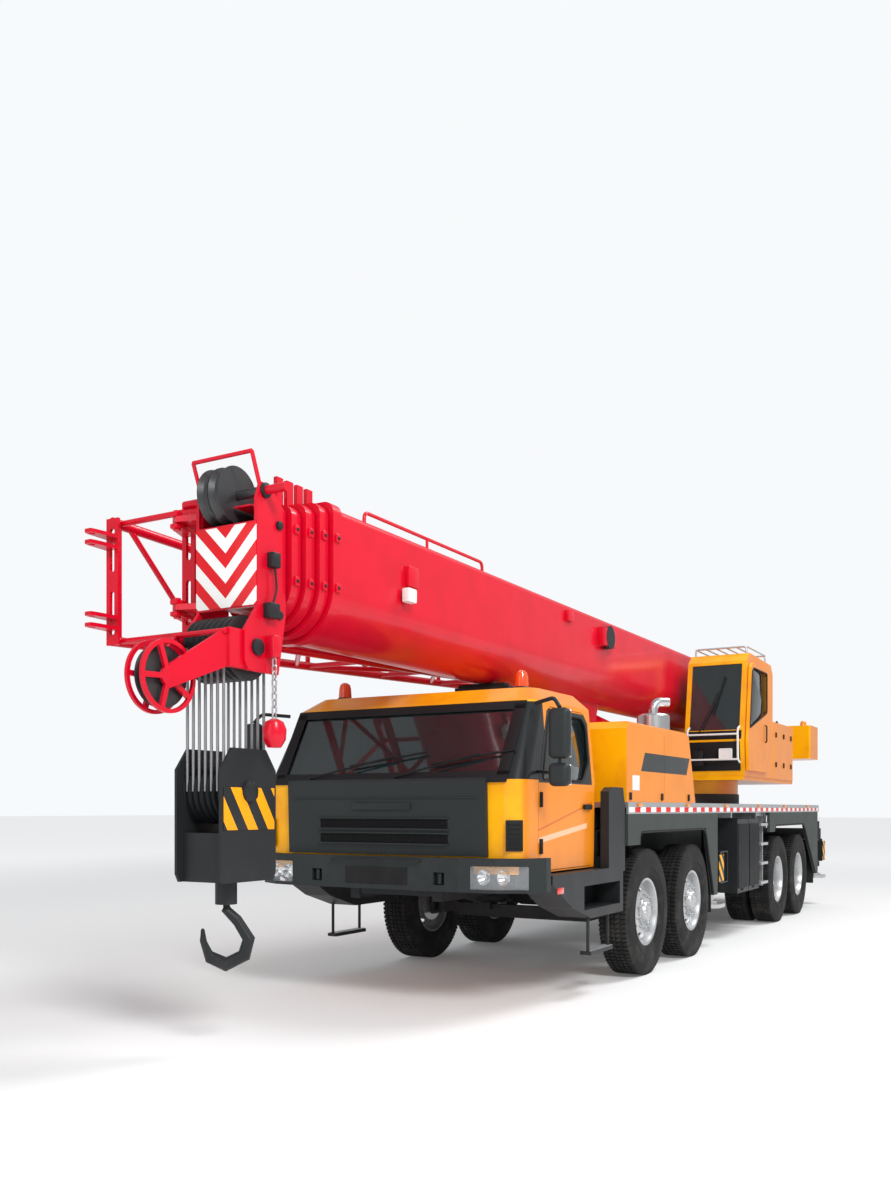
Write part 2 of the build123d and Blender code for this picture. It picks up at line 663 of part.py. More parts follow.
with BuildPart() as bumper:
    with BuildSketch(Plane.XY.offset(bumper_z[0])):
        bumper_outline(0.0)
    extrude(amount=bumper_z[1] - bumper_z[0])
    with BuildSketch(Plane.XY.offset(bumper_z[0] - 1)):
        bumper_outline(bumper_wall)
    extrude(amount=bumper_z[1] - bumper_z[0] + 2, mode=Mode.SUBTRACT)
    block((-half_width + 12 + bumper_wall, half_width - 12 - bumper_wall), (station(-2400), station(-2320)),
          (bumper_z[0] - 1, bumper_z[1] + 1), Mode.SUBTRACT)
    cab_form(panel_gap, Mode.SUBTRACT)
    block((-frame_half_width, frame_half_width), (station(-2740) + bumper_wall - 2, station(frame_front) - seat_gap),
          (1000, rail_top_z))
    for side in sides.values():
        block((side * 540, side * 640), (station(-2800), station(-2740) + 45), (1010, 1110), Mode.SUBTRACT)
        block((side * 860, side * 1330), (station(-2800), station(-2560)), (985, 1165), Mode.SUBTRACT)
finish(bumper.part, "bumper")

with BuildPart() as lamp_openings:
    for side in sides.values():
        block((side * (860 + seat_gap), side * (1330 - seat_gap)), (station(-2800), station(-2560) - seat_gap),
              (970, 1180))

with BuildPart() as headlamps:
    with BuildSketch(Plane.XY.offset(985 + seat_gap)):
        bumper_outline(6.0)
    extrude(amount=180 - 2 * seat_gap)
    with BuildSketch(Plane.XY.offset(980)):
        bumper_outline(42.0)
    extrude(amount=200, mode=Mode.SUBTRACT)
    add(lamp_openings.part, mode=Mode.INTERSECT)
    cab_form(panel_gap, Mode.SUBTRACT)
finish(headlamps.part, "headlamps")

with BuildPart() as cab_steps:
    for side in sides.values():
        side_slab([(-2290, 1010), (-2290, 1085), (-780, 1085), (-740, 1040), (-740, 680), (-1500, 680), (-1900, 800)],
                  (side * 1060, side * (half_width - 15)))
        side_slab([(-1650, 760), (-1650, 960), (-820, 960), (-820, 760)], (side * 1100, side * half_width),
                  Mode.SUBTRACT)
        side_slab([(-1090, 1085), (-1090, 1760), (-1000, 1800), (-740, 1800), (-690, 1640), (-690, 1050), (-740, 1040)],
                  (side * 1280, side * (half_width - 15)))
        for rail_station in (-1500, -1050):
            bar((side * 1330, station(rail_station), 690), (side * 1330, station(rail_station), 385), 14)
        block((side * 1270, side * 1370), (station(-1530), station(-1020)), (370, 400))
        block((side * frame_half_width, side * 1070), (station(-1400), station(-1300)), (1000, 1080))
finish(cab_steps.part, "cab_steps")

with BuildPart() as cab_interior:
    for side in sides.values():
        block((side * 380, side * 880), (station(-1800), station(-1300)), (1420, 1550))
        block((side * 380, side * 880), (station(-1420), station(-1290)), (1550, 2250))
        block((side * 500, side * 760), (station(-1700), station(-1400)), (1100 + cab_wall + seat_gap, 1420))
    block((-1150, 1150), (station(-2500), station(-2180)), (1600, 1790))
    block((-1000, 1000), (station(-2480), station(-2250)), (1100 + cab_wall + seat_gap, 1610))
    wheel_tilt = Plane(origin=(620, station(-2010), 1830), z_dir=(0, 0.6, 1))
    with BuildSketch(wheel_tilt):
        Circle(225)
        Circle(205, mode=Mode.SUBTRACT)
        Rectangle(420, 30)
        Circle(60)
    extrude(amount=22)
    bar((620, station(-2010), 1830), (620, station(-2250), 1610), 30)
finish(cab_interior.part, "cab_interior")


# Engine hood and exhaust

with BuildPart() as engine_hood:
    side_slab(hood_outline, (-hood_half_width, hood_half_width))
    long_edges = edges().filter_by(Axis.Y).group_by(Axis.Z)[-1]
    fillet(long_edges, 35)
    inner = [(-650.0 + hood_wall, 1660.0), (-650.0 + hood_wall, 2340.0), (-550.0, 2390.0), (1120.0, 2390.0),
             (1215.0, 2350.0), (1445.0, 1660.0)]
    side_slab(inner, (-hood_half_width + hood_wall, hood_half_width - hood_wall), Mode.SUBTRACT)
    bar((muffler_place[0], station(muffler_place[1]), 2300), (muffler_place[0], station(muffler_place[1]), 2500),
        muffler_radius + seat_gap, Mode.SUBTRACT)
finish(engine_hood.part, "engine_hood")

with BuildPart() as exhaust_muffler:
    can = (muffler_place[0], station(muffler_place[1]))
    bar((*can, deck_top_z + seat_gap), (*can, muffler_top_z), muffler_radius)
    chamfer(edges().group_by(Axis.Z)[-1], 18)
    with BuildSketch(Plane(origin=(*can, muffler_top_z - 20), z_dir=(0, 0, 1))):
        Circle(exhaust_radius)
        Circle(exhaust_radius - 4, mode=Mode.SUBTRACT)
    outlet = Plane(origin=(*can, muffler_top_z - 20), x_dir=(1, 1, 0), z_dir=(1, -1, 0))
    with BuildLine(outlet) as bend:
        rise = exhaust_top_z - muffler_top_z + 20
        Line((0, 0), (0, rise - 80))
        RadiusArc((0, rise - 80), (80, rise), 80)
        Line((80, rise), (170, rise))
    sweep(path=bend.line)
finish(exhaust_muffler.part, "exhaust_muffler")


# Side equipment

with BuildPart() as side_lockers:
    for side in sides.values():
        for low in (3270.0, 3820.0):
            block((side * 1010, side * 1350), (station(low), station(low + 530)), (560, 1480))
        block((side * (frame_half_width + seat_gap), side * 1020), (station(3500), station(3600)), (1400, 1460))
        block((side * (frame_half_width + seat_gap), side * 1020), (station(4050), station(4150)), (1400, 1460))
finish(side_lockers.part, "side_lockers")

with BuildPart() as ladders:
    for side in sides.values():
        for leg in (4440, 4800):
            block((side * 1250, side * 1290), (station(leg), station(leg + 30)), (560, deck_top_z - 120))
        for step_z in (600, 860, 1120, 1380):
            block((side * 1240, side * 1360), (station(4440), station(4830)), (step_z, step_z + 35))
        block((side * 1250, side * 1290), (station(4440), station(4830)), (deck_top_z - 160, deck_top_z - deck_thickness - seat_gap))
finish(ladders.part, "ladders")


# Slewing ring and turntable

with BuildPart() as slew_ring:
    with BuildSketch(Plane.XY.offset(deck_top_z + seat_gap)):
        with Locations((0, slew_y)):
            Circle(ring_radius)
            Circle(ring_radius - 190, mode=Mode.SUBTRACT)
    extrude(amount=140)
finish(slew_ring.part, "slew_ring")

ring_top_z = deck_top_z + seat_gap + 140
platform_top_z = platform_bottom_z + platform_thickness
foot = (station(foot_station), foot_z)
luff_low = (station(luff_low_station), luff_low_z)
luff_high = (station(luff_high_station), luff_high_z)

with BuildPart() as turntable_frame:
    with BuildSketch(Plane.XY.offset(ring_top_z + seat_gap)):
        with Locations((0, slew_y)):
            Circle(ring_radius - 15)
            Circle(ring_radius - 175, mode=Mode.SUBTRACT)
    extrude(amount=platform_bottom_z - ring_top_z + 5)
    block((-platform_half_width, platform_half_width), (station(3720), station(6600)),
          (platform_bottom_z, platform_top_z))
    block((-side_plate_x - side_plate_thickness, side_plate_x + side_plate_thickness), (station(6590), station(7900)),
          (platform_bottom_z + 200, platform_bottom_z + 230))
    for side in sides.values():
        side_slab([(3900, platform_top_z - 5), (3900, 2260), (5400, 2560), (6330, 3330), (6480, 3440), (6720, 3440),
                   (6860, 3330), (7900, 2950), (7999.7, 2940), (7999.7, 2440), (6600, platform_bottom_z + 10)],
                  (side * side_plate_x, side * (side_plate_x + side_plate_thickness)))
        side_slab([(4560, platform_top_z - 5), (4600, 2390), (4680, 2430), (4820, 2430), (4900, 2390), (4960, platform_top_z - 5)],
                  (side * (luff_eye_half_width + 5), side * (luff_eye_half_width + 5 + lug_thickness)))
    for side in sides.values():
        bar((side * (boom_half_width - boom_wall), *foot), (side * (side_plate_x + 60), *foot), foot_pin_radius)
    bar((-luff_eye_half_width - 60, *luff_low), (luff_eye_half_width + 60, *luff_low), 50)
    block((-side_plate_x - 5, side_plate_x + 5), (station(7960), station(7999.7)), (2440, 2940))
    for (winch_station, winch_z), radius in (((7560.0, 2780.0), 190.0), ((7080.0, 2420.0), 150.0)):
        turned([(-side_plate_x - 1, 0), (-side_plate_x - 1, radius - 60), (-340, radius - 60),
                (-340, radius + 40), (-320, radius + 40), (-320, radius), (320, radius), (320, radius + 40),
                (340, radius + 40), (340, radius - 60), (side_plate_x + 1, radius - 60),
                (side_plate_x + 1, 0)], (0, station(winch_station), winch_z))
finish(turntable_frame.part, "turntable_frame")

with BuildPart() as upper_housing:
    block((470, 1325), (station(5270), station(6580)), (platform_top_z + seat_gap, 2830))
    fillet(edges().filter_by(Axis.Z), 40)
    block((-1325, -470), (station(4300), station(6580)), (platform_top_z + seat_gap, 2680))
finish(upper_housing.part, "upper_housing")

with BuildPart() as counterweight:
    plan = Plane.XY.offset(counterweight_z[0])
    front, rear = (station(value) for value in counterweight_stations)
    with BuildSketch(plan):
        with BuildLine():
            Polyline((-counterweight_half_width, front), (counterweight_half_width, front),
                     (counterweight_half_width, rear - 120), (counterweight_half_width - 160, rear),
                     (-counterweight_half_width + 160, rear), (-counterweight_half_width, rear - 120), close=True)
        make_face()
    extrude(amount=counterweight_z[1] - counterweight_z[0])
    fillet(edges().filter_by(Axis.Z), 30)
finish(counterweight.part, "counterweight")



# Operator's cab

def operator_form(inset, mode=Mode.ADD):
    """Closed form of the operator's cab, its walls moved in by an amount."""
    side_prism(operator_outline, inset, (operator_x[0] + inset, operator_x[1] - inset), mode)


windscreen_x = (operator_x[0] + 60, operator_x[1] - 60)
windscreen_z = (2620.0, 3480.0)
operator_side_window = [(4050.0, 2700.0), (4050.0, 3420.0), (5100.0, 3420.0), (5100.0, 2700.0)]
operator_lift = seat_gap
with BuildPart() as operator_cab:
    operator_form(0.0)
    operator_form(operator_wall, Mode.SUBTRACT)
    side_prism(operator_door_outline, 12, (operator_x[1] - 60, operator_x[1] + 10), Mode.SUBTRACT)
    block(windscreen_x, (station(3500), station(3950)), windscreen_z, Mode.SUBTRACT)
    side_prism(operator_side_window, 0, (operator_x[0] - 10, operator_x[0] + 60), Mode.SUBTRACT)
    block((operator_x[0] + 120, operator_x[1] - 120), (station(5150), station(5300)), (2750, 3400), Mode.SUBTRACT)
operator_cab.part.position += (0, 0, operator_lift)
finish(operator_cab.part, "operator_cab")

with BuildPart() as operator_openings:
    block((windscreen_x[0] + seat_gap, windscreen_x[1] - seat_gap), (station(3500), station(3950)),
          (windscreen_z[0] + seat_gap, windscreen_z[1] - seat_gap))
    side_prism(operator_side_window, seat_gap, (operator_x[0] - 10, operator_x[0] + 60), Mode.ADD)
    block((operator_x[0] + 120 + seat_gap, operator_x[1] - 120 - seat_gap), (station(5150), station(5300)),
          (2750 + seat_gap, 3400 - seat_gap))

with BuildPart() as operator_glass:
    operator_form(12.0)
    operator_form(20.0, Mode.SUBTRACT)
    add(operator_openings.part, mode=Mode.INTERSECT)
operator_glass.part.position += (0, 0, operator_lift)
finish(operator_glass.part, "operator_glass")

operator_door_x = (operator_x[1] + operator_door_gap, operator_x[1] + operator_door_gap + operator_door_thickness)
with BuildPart() as operator_door:
    side_prism(operator_door_outline, 0, operator_door_x, Mode.ADD)
    side_prism(operator_door_window, 0, operator_door_x, Mode.SUBTRACT)
    for runner_z in (2112.0, 3480.0):
        block((operator_x[1] + seat_gap, operator_door_x[0] + 2), (station(4200), station(4700)),
              (runner_z, runner_z + 14))
finish(operator_door.part, "operator_door")

with BuildPart() as operator_seat:
    block((700, 1150), (station(4300), station(4800)), (2380, 2520))
    block((700, 1150), (station(4700), station(4820)), (2520, 3220))
    block((800, 1050), (station(4400), station(4700)), (platform_top_z + operator_wall + 2 * seat_gap, 2380))
finish(operator_seat.part, "operator_seat")


# Boom

def boom_outline(level, grow):
    """Section outline of a boom tube: flat top, upright sides, round belly."""
    half_x = boom_half_width - level * boom_step_x + grow
    half_z = boom_half_height - level * boom_step_z + grow
    with Locations((0, boom_centre_z)):
        Rectangle(2 * half_x, 2 * half_z)
    fillet(vertices().group_by(Axis.Y)[0], 0.92 * half_x)
    fillet(vertices().group_by(Axis.Y)[-1], 55 + grow)


def boom_ring(outer, inner, y):
    """Ring along the boom between an outer and an inner outline, each (level, grow)."""
    with BuildPart(mode=Mode.PRIVATE) as solid:
        with BuildSketch(Plane.XZ.offset(-y[0])):
            boom_outline(*outer)
        extrude(amount=-(y[1] - y[0]))
        with BuildSketch(Plane.XZ.offset(-y[0])):
            boom_outline(*inner)
        extrude(amount=-(y[1] - y[0]), mode=Mode.SUBTRACT)
    return solid.part


section_names = ["boom_base", "boom_section_2", "boom_section_3", "boom_section_4", "boom_section_5"]
last_level = len(section_names) - 1
for level, label in enumerate(section_names):
    collar_y = (station(collar_station - level * collar_pitch) - collar_width,
                station(collar_station - level * collar_pitch))
    tail_y = station(boom_tail_station - level * boom_tail_step)
    front_y = collar_y[1] - 1
    if level == last_level:
        front_y = station(head_stations[0]) + head_plate
    with BuildPart() as section:
        add(boom_ring((level, 0), (level, -boom_wall), (front_y, tail_y)))
        if level < last_level:
            add(boom_ring((level, collar_height), (level + 1, seat_gap), collar_y))
            block((130, 160), (collar_y[0] + 20, collar_y[1] - 10),
                  (boom_centre_z + boom_half_height - level * boom_step_z + 10,
                   boom_centre_z + boom_half_height + 150))
        if level > 0:
            add(boom_ring((level - 1, -boom_wall - seat_gap), (level, -boom_wall), (tail_y - 90, tail_y)))
        if level == 0:
            for side in sides.values():
                inner_x = side * (boom_half_width - boom_wall)
                bar((inner_x, *foot), (side * (side_plate_x - seat_gap), *foot), foot_pin_radius + 45)
                bar((inner_x - side, *foot), (side * side_plate_x, *foot), foot_pin_radius + seat_gap, Mode.SUBTRACT)
            eye_x = luff_eye_half_width + 5
            belly_z = boom_centre_z - boom_half_height
            for side in sides.values():
                side_slab([(300, belly_z + 120), (1250, 2530), (1350, 2490), (1550, 2490), (1620, 2560),
                           (1780, belly_z + 120)], (side * eye_x, side * (eye_x + lug_thickness)))
            with BuildSketch(Plane.XZ.offset(-station(250))):
                boom_outline(0, -boom_wall)
            extrude(amount=-2200, mode=Mode.SUBTRACT)
    if level < last_level:
        finish(section.part, label)

level = last_level
head_y = tuple(station(value) for value in head_stations)
plate_inner_x = boom_half_width - level * boom_step_x - 1
plate_outer_x = plate_inner_x + head_plate
with BuildPart() as boom_section_5:
    add(section.part)
    for side in sides.values():
        side_slab([(-4640, 2560), (-4640, 2760), (-4520, 2920), (-4520, 3640), (-4480, 3750), (-4380, 3750),
                   (-4225, 3600), (-4225, 2900), (-4300, 2500), (-4600, 2500)],
                  (side * plate_inner_x, side * plate_outer_x))
    block((-plate_inner_x - 1, plate_inner_x + 1), (head_y[0], head_y[0] + head_plate + 5), front_plate_z)
    block((top_sheave_x - top_sheave_pitch - top_sheave_clearance, top_sheave_x + top_sheave_pitch + top_sheave_clearance),
          (head_y[0] - 1, station(top_sheave[0]) + top_sheave_radius + top_sheave_clearance),
          (front_plate_z[1], boom_centre_z + boom_half_height), Mode.SUBTRACT)
    bar((-plate_outer_x - 180, station(-4440), 3700), (-plate_inner_x, station(-4440), 3700), 30)
    bar((plate_inner_x, station(-4440), 3700), (plate_outer_x + 180, station(-4440), 3700), 30)
    for side in sides.values():
        bar((side * (plate_inner_x + 15), station(-4560), 3930), (side * (plate_inner_x + 15), station(-4470), 3700), 14)
    bar((-plate_inner_x - 15, station(-4560), 3930), (plate_inner_x + 15, station(-4560), 3930), 14)
    for lug_z in (3560.0, 2960.0):
        with BuildSketch(Plane.XY.offset(lug_z)):
            with BuildLine():
                Polyline((-plate_inner_x - 5, station(-4240)), (-plate_inner_x - 5, station(-4510)),
                         (jib_pivot[0] + 30, station(jib_pivot[1]) - 45), (jib_pivot[0] - 45, station(jib_pivot[1])),
                         (jib_pivot[0] - 10, station(jib_pivot[1]) + 60), close=True)
            make_face()
        extrude(amount=40)
        bar((jib_pivot[0], station(jib_pivot[1]), lug_z - 50), (jib_pivot[0], station(jib_pivot[1]), lug_z + 90), 25)


def sheave_pack(centre, x, radius, count, pitch, reach, shaft):
    """Row of grooved sheaves on one shaft, as one turned solid."""
    first = x - (count - 1) / 2 * pitch
    profile = [(-reach, 0), (-reach, shaft)]
    for index in range(count):
        middle = first + index * pitch
        half = pitch / 2 - 3
        profile += [(middle - half, shaft), (middle - half, radius), (middle - half + 4, radius),
                    (middle - rope_radius - 2, radius - sheave_groove), (middle + rope_radius + 2, radius - sheave_groove),
                    (middle + half - 4, radius), (middle + half, radius), (middle + half, shaft)]
    profile += [(reach, shaft), (reach, 0)]
    turned(profile, (0, *centre))


nose_point = (station(nose[0]), nose[1])
with BuildPart() as head_sheaves:
    shaft_reach = plate_inner_x - seat_gap
    sheave_pack((station(low_sheave[0]), low_sheave[1]), 0, low_sheave_radius, low_sheave_count, low_sheave_pitch,
                shaft_reach, 40)
    sheave_pack((station(top_sheave[0]), top_sheave[1]), top_sheave_x, top_sheave_radius, 2, top_sheave_pitch,
                shaft_reach, 32)
    turned([(-30, 30 + seat_gap), (-30, nose_sheave_radius), (-24, nose_sheave_radius),
            (-rope_radius, nose_sheave_radius - sheave_groove), (rope_radius, nose_sheave_radius - sheave_groove),
            (24, nose_sheave_radius), (30, nose_sheave_radius), (30, 30 + seat_gap)], (0, *nose_point))
finish(head_sheaves.part, "head_sheaves")

arm_x = (block_half_width - 4, block_half_width + 18)
with BuildPart() as boom_tip:
    add(boom_section_5.part)
    for side in sides.values():
        block((side * arm_x[0], side * (plate_inner_x + 5)), (station(-4760), station(-4570)), (2510, 2760))
        with BuildSketch(Plane.XZ.offset(-station(-4755))):
            with Locations((side * (arm_x[0] + 11), 2635)):
                Rectangle(22, 250)
        with BuildSketch(Plane.XZ.offset(-nose_point[0])):
            with Locations((side * 62, nose_point[1])):
                Rectangle(22, 150)
        loft()
        with BuildSketch(Plane(origin=(side * 51, *nose_point), z_dir=(side, 0, 0))):
            Circle(nose_guard_radius)
            Circle(nose_guard_radius - 26, mode=Mode.SUBTRACT)
            with PolarLocations(0, 5, start_angle=20):
                with Locations((nose_guard_radius / 2, 0)):
                    Rectangle(nose_guard_radius - 10, 34)
            Circle(62)
        extrude(amount=22)
    bar((-70, *nose_point), (70, *nose_point), 30)
    bar((-arm_x[1] - 10, station(-4775), 2735), (arm_x[1] + 10, station(-4775), 2735), 18)
finish(boom_tip.part, section_names[last_level])


# Luffing cylinder

luff_run = Vector(0, luff_high[0] - luff_low[0], luff_high[1] - luff_low[1])
luff_direction = luff_run.normalized()
low_point = Vector(0, *luff_low)
high_point = Vector(0, *luff_high)
barrel_end = low_point + luff_direction * luff_barrel_length

with BuildPart() as luff_barrel:
    bar(tuple(low_point + luff_direction * 230), tuple(barrel_end), luff_barrel_radius)
    bar(tuple(low_point + luff_direction * 60), tuple(low_point + luff_direction * 240), luff_eye_half_width - 6)
    bar((-luff_eye_half_width, *luff_low), (luff_eye_half_width, *luff_low), 115)
    bar(tuple(low_point + luff_direction * 270), tuple(barrel_end + luff_direction * 10),
        luff_rod_radius + seat_gap, Mode.SUBTRACT)
    bar((-luff_eye_half_width - 5, *luff_low), (luff_eye_half_width + 5, *luff_low), 50 + seat_gap, Mode.SUBTRACT)
finish(luff_barrel.part, "luff_cylinder_barrel")

with BuildPart() as luff_rod:
    bar(tuple(low_point + luff_direction * 300), tuple(high_point), luff_rod_radius)
    bar((-luff_eye_half_width, *luff_high), (luff_eye_half_width, *luff_high), 110)
    bar((-luff_eye_half_width - 5, *luff_high), (luff_eye_half_width + 5, *luff_high), 50, Mode.SUBTRACT)
finish(luff_rod.part, "luff_cylinder_rod")


# Hook block, hoist rope and hook

hook_axis = (0.0, station(low_sheave[0]))
fall_offset = low_sheave_radius - sheave_groove + rope_radius + seat_gap
fall_xs = [(index - (low_sheave_count - 1) / 2) * low_sheave_pitch for index in range(low_sheave_count)]

with BuildPart() as hoist_rope:
    for fall_x in fall_xs:
        for end in (-1, 1):
            fall_y = hook_axis[1] + end * fall_offset
            bar((fall_x, fall_y, block_sheave_z), (fall_x, fall_y, low_sheave[1]), rope_radius)
finish(hoist_rope.part, "hoist_rope")

cheek = [(-0.62, 1), (0.62, 1), (1, 0.84), (1, 0.06), (0.9, 0), (-0.9, 0), (-1, 0.06), (-1, 0.84)]
cheek_points = [(low_sheave[0] + u * block_half_depth, block_z[0] + v * (block_z[1] - block_z[0])) for u, v in cheek]
with BuildPart() as hook_block:
    for side in sides.values():
        side_slab(cheek_points, (side * (block_half_width - block_plate), side * block_half_width))
    block((-block_half_width + 5, block_half_width - 5), (hook_axis[1] - 210, hook_axis[1] + 210), (1130, 1450))
    bar((-block_half_width - 25, hook_axis[1], block_sheave_z), (block_half_width + 25, hook_axis[1], block_sheave_z), 38)
    bar((0, hook_axis[1], 1100), (0, hook_axis[1], 1400), 50 + seat_gap, Mode.SUBTRACT)
    sheave_pack((hook_axis[1], block_sheave_z), 0, low_sheave_radius, low_sheave_count, low_sheave_pitch,
                block_half_width - block_plate + 1, 60)
finish(hook_block.part, "hook_block")

hook_plane = Plane(origin=(*hook_axis, hook_bowl_z), x_dir=(cos(radians(hook_turn)), sin(radians(hook_turn)), 0),
                   z_dir=(sin(radians(hook_turn)), -cos(radians(hook_turn)), 0))
hook_stations = [(0, 260, 46), (0, 215, 52), (75, 140, 60), (hook_bowl_radius, 20, 68), (120, -90, 74),
                 (0, -hook_bowl_radius, 76), (-112, -100, 66), (-hook_bowl_radius, 0, 50), (-155, 70, 30)]
with BuildPart() as hook:
    with BuildLine(hook_plane) as hook_path:
        Spline(*[(u, w) for u, w, radius in hook_stations], tangents=((0, -1), (0.1, 1)))
    path = hook_path.edges()[0]
    knots = [(path.param_at_point(hook_plane.from_local_coords(Vector(u, w, 0))), radius)
             for u, w, radius in hook_stations]
    outlines = []
    for place, radius in knots:
        with BuildSketch(Plane(origin=path @ place, x_dir=hook_plane.z_dir, z_dir=path % place)) as outline:
            Circle(radius * hook_bar_share)
        outlines.append(outline.sketch)
    for low_outline, high_outline in zip(outlines, outlines[1:]):
        loft([low_outline, high_outline])
    bar((*hook_axis, hook_bowl_z + hook_neck), (*hook_axis, hook_shank_top), hook_shank_radius)
    bar((*hook_axis, hook_bowl_z + hook_neck), (*hook_axis, block_z[0] - seat_gap), hook_shank_radius + 22)
finish(hook.part, "hook")


# Lattice jib stowed on the boom's right side

def between(low, high, share):
    """Point a share of the way from one point to another."""
    return tuple(a + (b - a) * share for a, b in zip(low, high))


root_y = station(jib_pivot[1]) + jib_root_gap
tip_y = root_y + jib_length
tip_x = (jib_root_x[0] + jib_root_x[1]) / 2
tip_z = (jib_root_z[0] + jib_root_z[1]) / 2
corners = [(0, 0), (1, 0), (1, 1), (0, 1)]
roots = [(jib_root_x[i], root_y, jib_root_z[k]) for i, k in corners]
tips = [(tip_x + (jib_tip_half, -jib_tip_half)[i], tip_y, tip_z + (-jib_tip_half, jib_tip_half)[k]) for i, k in corners]

jib_bars = [(root, tip, jib_chord_radius) for root, tip in zip(roots, tips)]
for near in range(4):
    far = (near + 1) % 4
    for bay in range(jib_bays + 1):
        share = min(max(bay / jib_bays, jib_end_offset), 1 - jib_end_offset)
        jib_bars.append((between(roots[near], tips[near], share), between(roots[far], tips[far], share),
                         jib_brace_radius))
        if bay < jib_bays:
            start, end = (near, far) if bay % 2 else (far, near)
            low, high = bay / jib_bays + jib_node_offset, (bay + 1) / jib_bays - jib_node_offset
            jib_bars.append((between(roots[start], tips[start], low), between(roots[end], tips[end], high),
                             jib_brace_radius))

with BuildPart() as lattice_jib:
    tubes = []
    for start, end, radius in jib_bars:
        run = Vector(*end) - Vector(*start)
        with BuildSketch(Plane(origin=start, z_dir=run)) as disc:
            Circle(radius)
        tubes.append(extrude(disc.sketch, amount=run.length, mode=Mode.PRIVATE))
    add(tubes)
    for x in jib_root_x:
        with BuildSketch(Plane.XZ.offset(-root_y - jib_post_thickness)):
            with Locations((x, tip_z)):
                Rectangle(120, jib_root_z[1] - jib_root_z[0] + 60)
                with Locations((0, 370), (0, -370)):
                    Circle(26, mode=Mode.SUBTRACT)
                with Locations((0, 180), (0, -180)):
                    SlotOverall(220, 44, rotation=90, mode=Mode.SUBTRACT)
        extrude(amount=jib_post_thickness)
    for x, inward in ((jib_root_x[0], 1), (jib_root_x[1], 0)):
        for lug_z in (3560.0, 2960.0):
            for low in (lug_z - 34, lug_z + 46):
                with BuildSketch(Plane.XY.offset(low)):
                    with BuildLine():
                        tip_lug_x = jib_pivot[0] if inward else x
                        Polyline((x - 60, root_y + jib_post_thickness / 2), (x + 60, root_y + jib_post_thickness / 2),
                                 (tip_lug_x + 42, station(jib_pivot[1]) + 5),
                                 (tip_lug_x + 30, station(jib_pivot[1]) - 38),
                                 (tip_lug_x - 30, station(jib_pivot[1]) - 38),
                                 (tip_lug_x - 45, station(jib_pivot[1])), close=True)
                    make_face()
                    with Locations((tip_lug_x, station(jib_pivot[1]))):
                        Circle(25 + seat_gap, mode=Mode.SUBTRACT)
                extrude(amount=28)
finish(lattice_jib.part, "lattice_jib")
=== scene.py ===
"""Looks of a four-axle truck crane: finishes for its construction nodes and the fittings that they carry."""
import logging
import math
from dataclasses import dataclass, field
from enum import Enum
from typing import Callable, Iterable, Optional, Sequence

import bpy
from mathutils import Matrix, Vector


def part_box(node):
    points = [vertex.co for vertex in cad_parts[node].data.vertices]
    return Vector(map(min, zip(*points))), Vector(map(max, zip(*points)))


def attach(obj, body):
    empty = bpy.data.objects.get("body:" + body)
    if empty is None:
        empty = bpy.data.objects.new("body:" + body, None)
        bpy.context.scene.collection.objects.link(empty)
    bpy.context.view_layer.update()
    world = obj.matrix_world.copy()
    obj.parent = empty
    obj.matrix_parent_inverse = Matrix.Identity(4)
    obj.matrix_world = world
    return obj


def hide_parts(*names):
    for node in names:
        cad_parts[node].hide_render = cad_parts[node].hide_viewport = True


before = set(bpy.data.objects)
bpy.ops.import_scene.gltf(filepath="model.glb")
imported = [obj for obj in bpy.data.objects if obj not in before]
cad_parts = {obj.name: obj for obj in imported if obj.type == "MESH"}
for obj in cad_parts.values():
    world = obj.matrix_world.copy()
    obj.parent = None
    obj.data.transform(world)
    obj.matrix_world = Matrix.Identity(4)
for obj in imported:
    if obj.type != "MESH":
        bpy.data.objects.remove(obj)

log = logging.getLogger("truck_crane")
logging.basicConfig(level=logging.INFO, format="%(message)s")

Point = Sequence[float]
Colour = tuple[float, float, float]

FIRST_AXLE_Y = -1.775
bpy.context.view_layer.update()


def station(distance: float) -> float:
    """Y of a point that lies this far behind the first axle."""
    return FIRST_AXLE_Y + distance


class Side(Enum):
    """The crane's two sides, with the sign of their X."""

    LEFT = 1
    RIGHT = -1

    @property
    def word(self) -> str:
        """The side's name as nodes and bodies use it."""
        return self.name.lower()


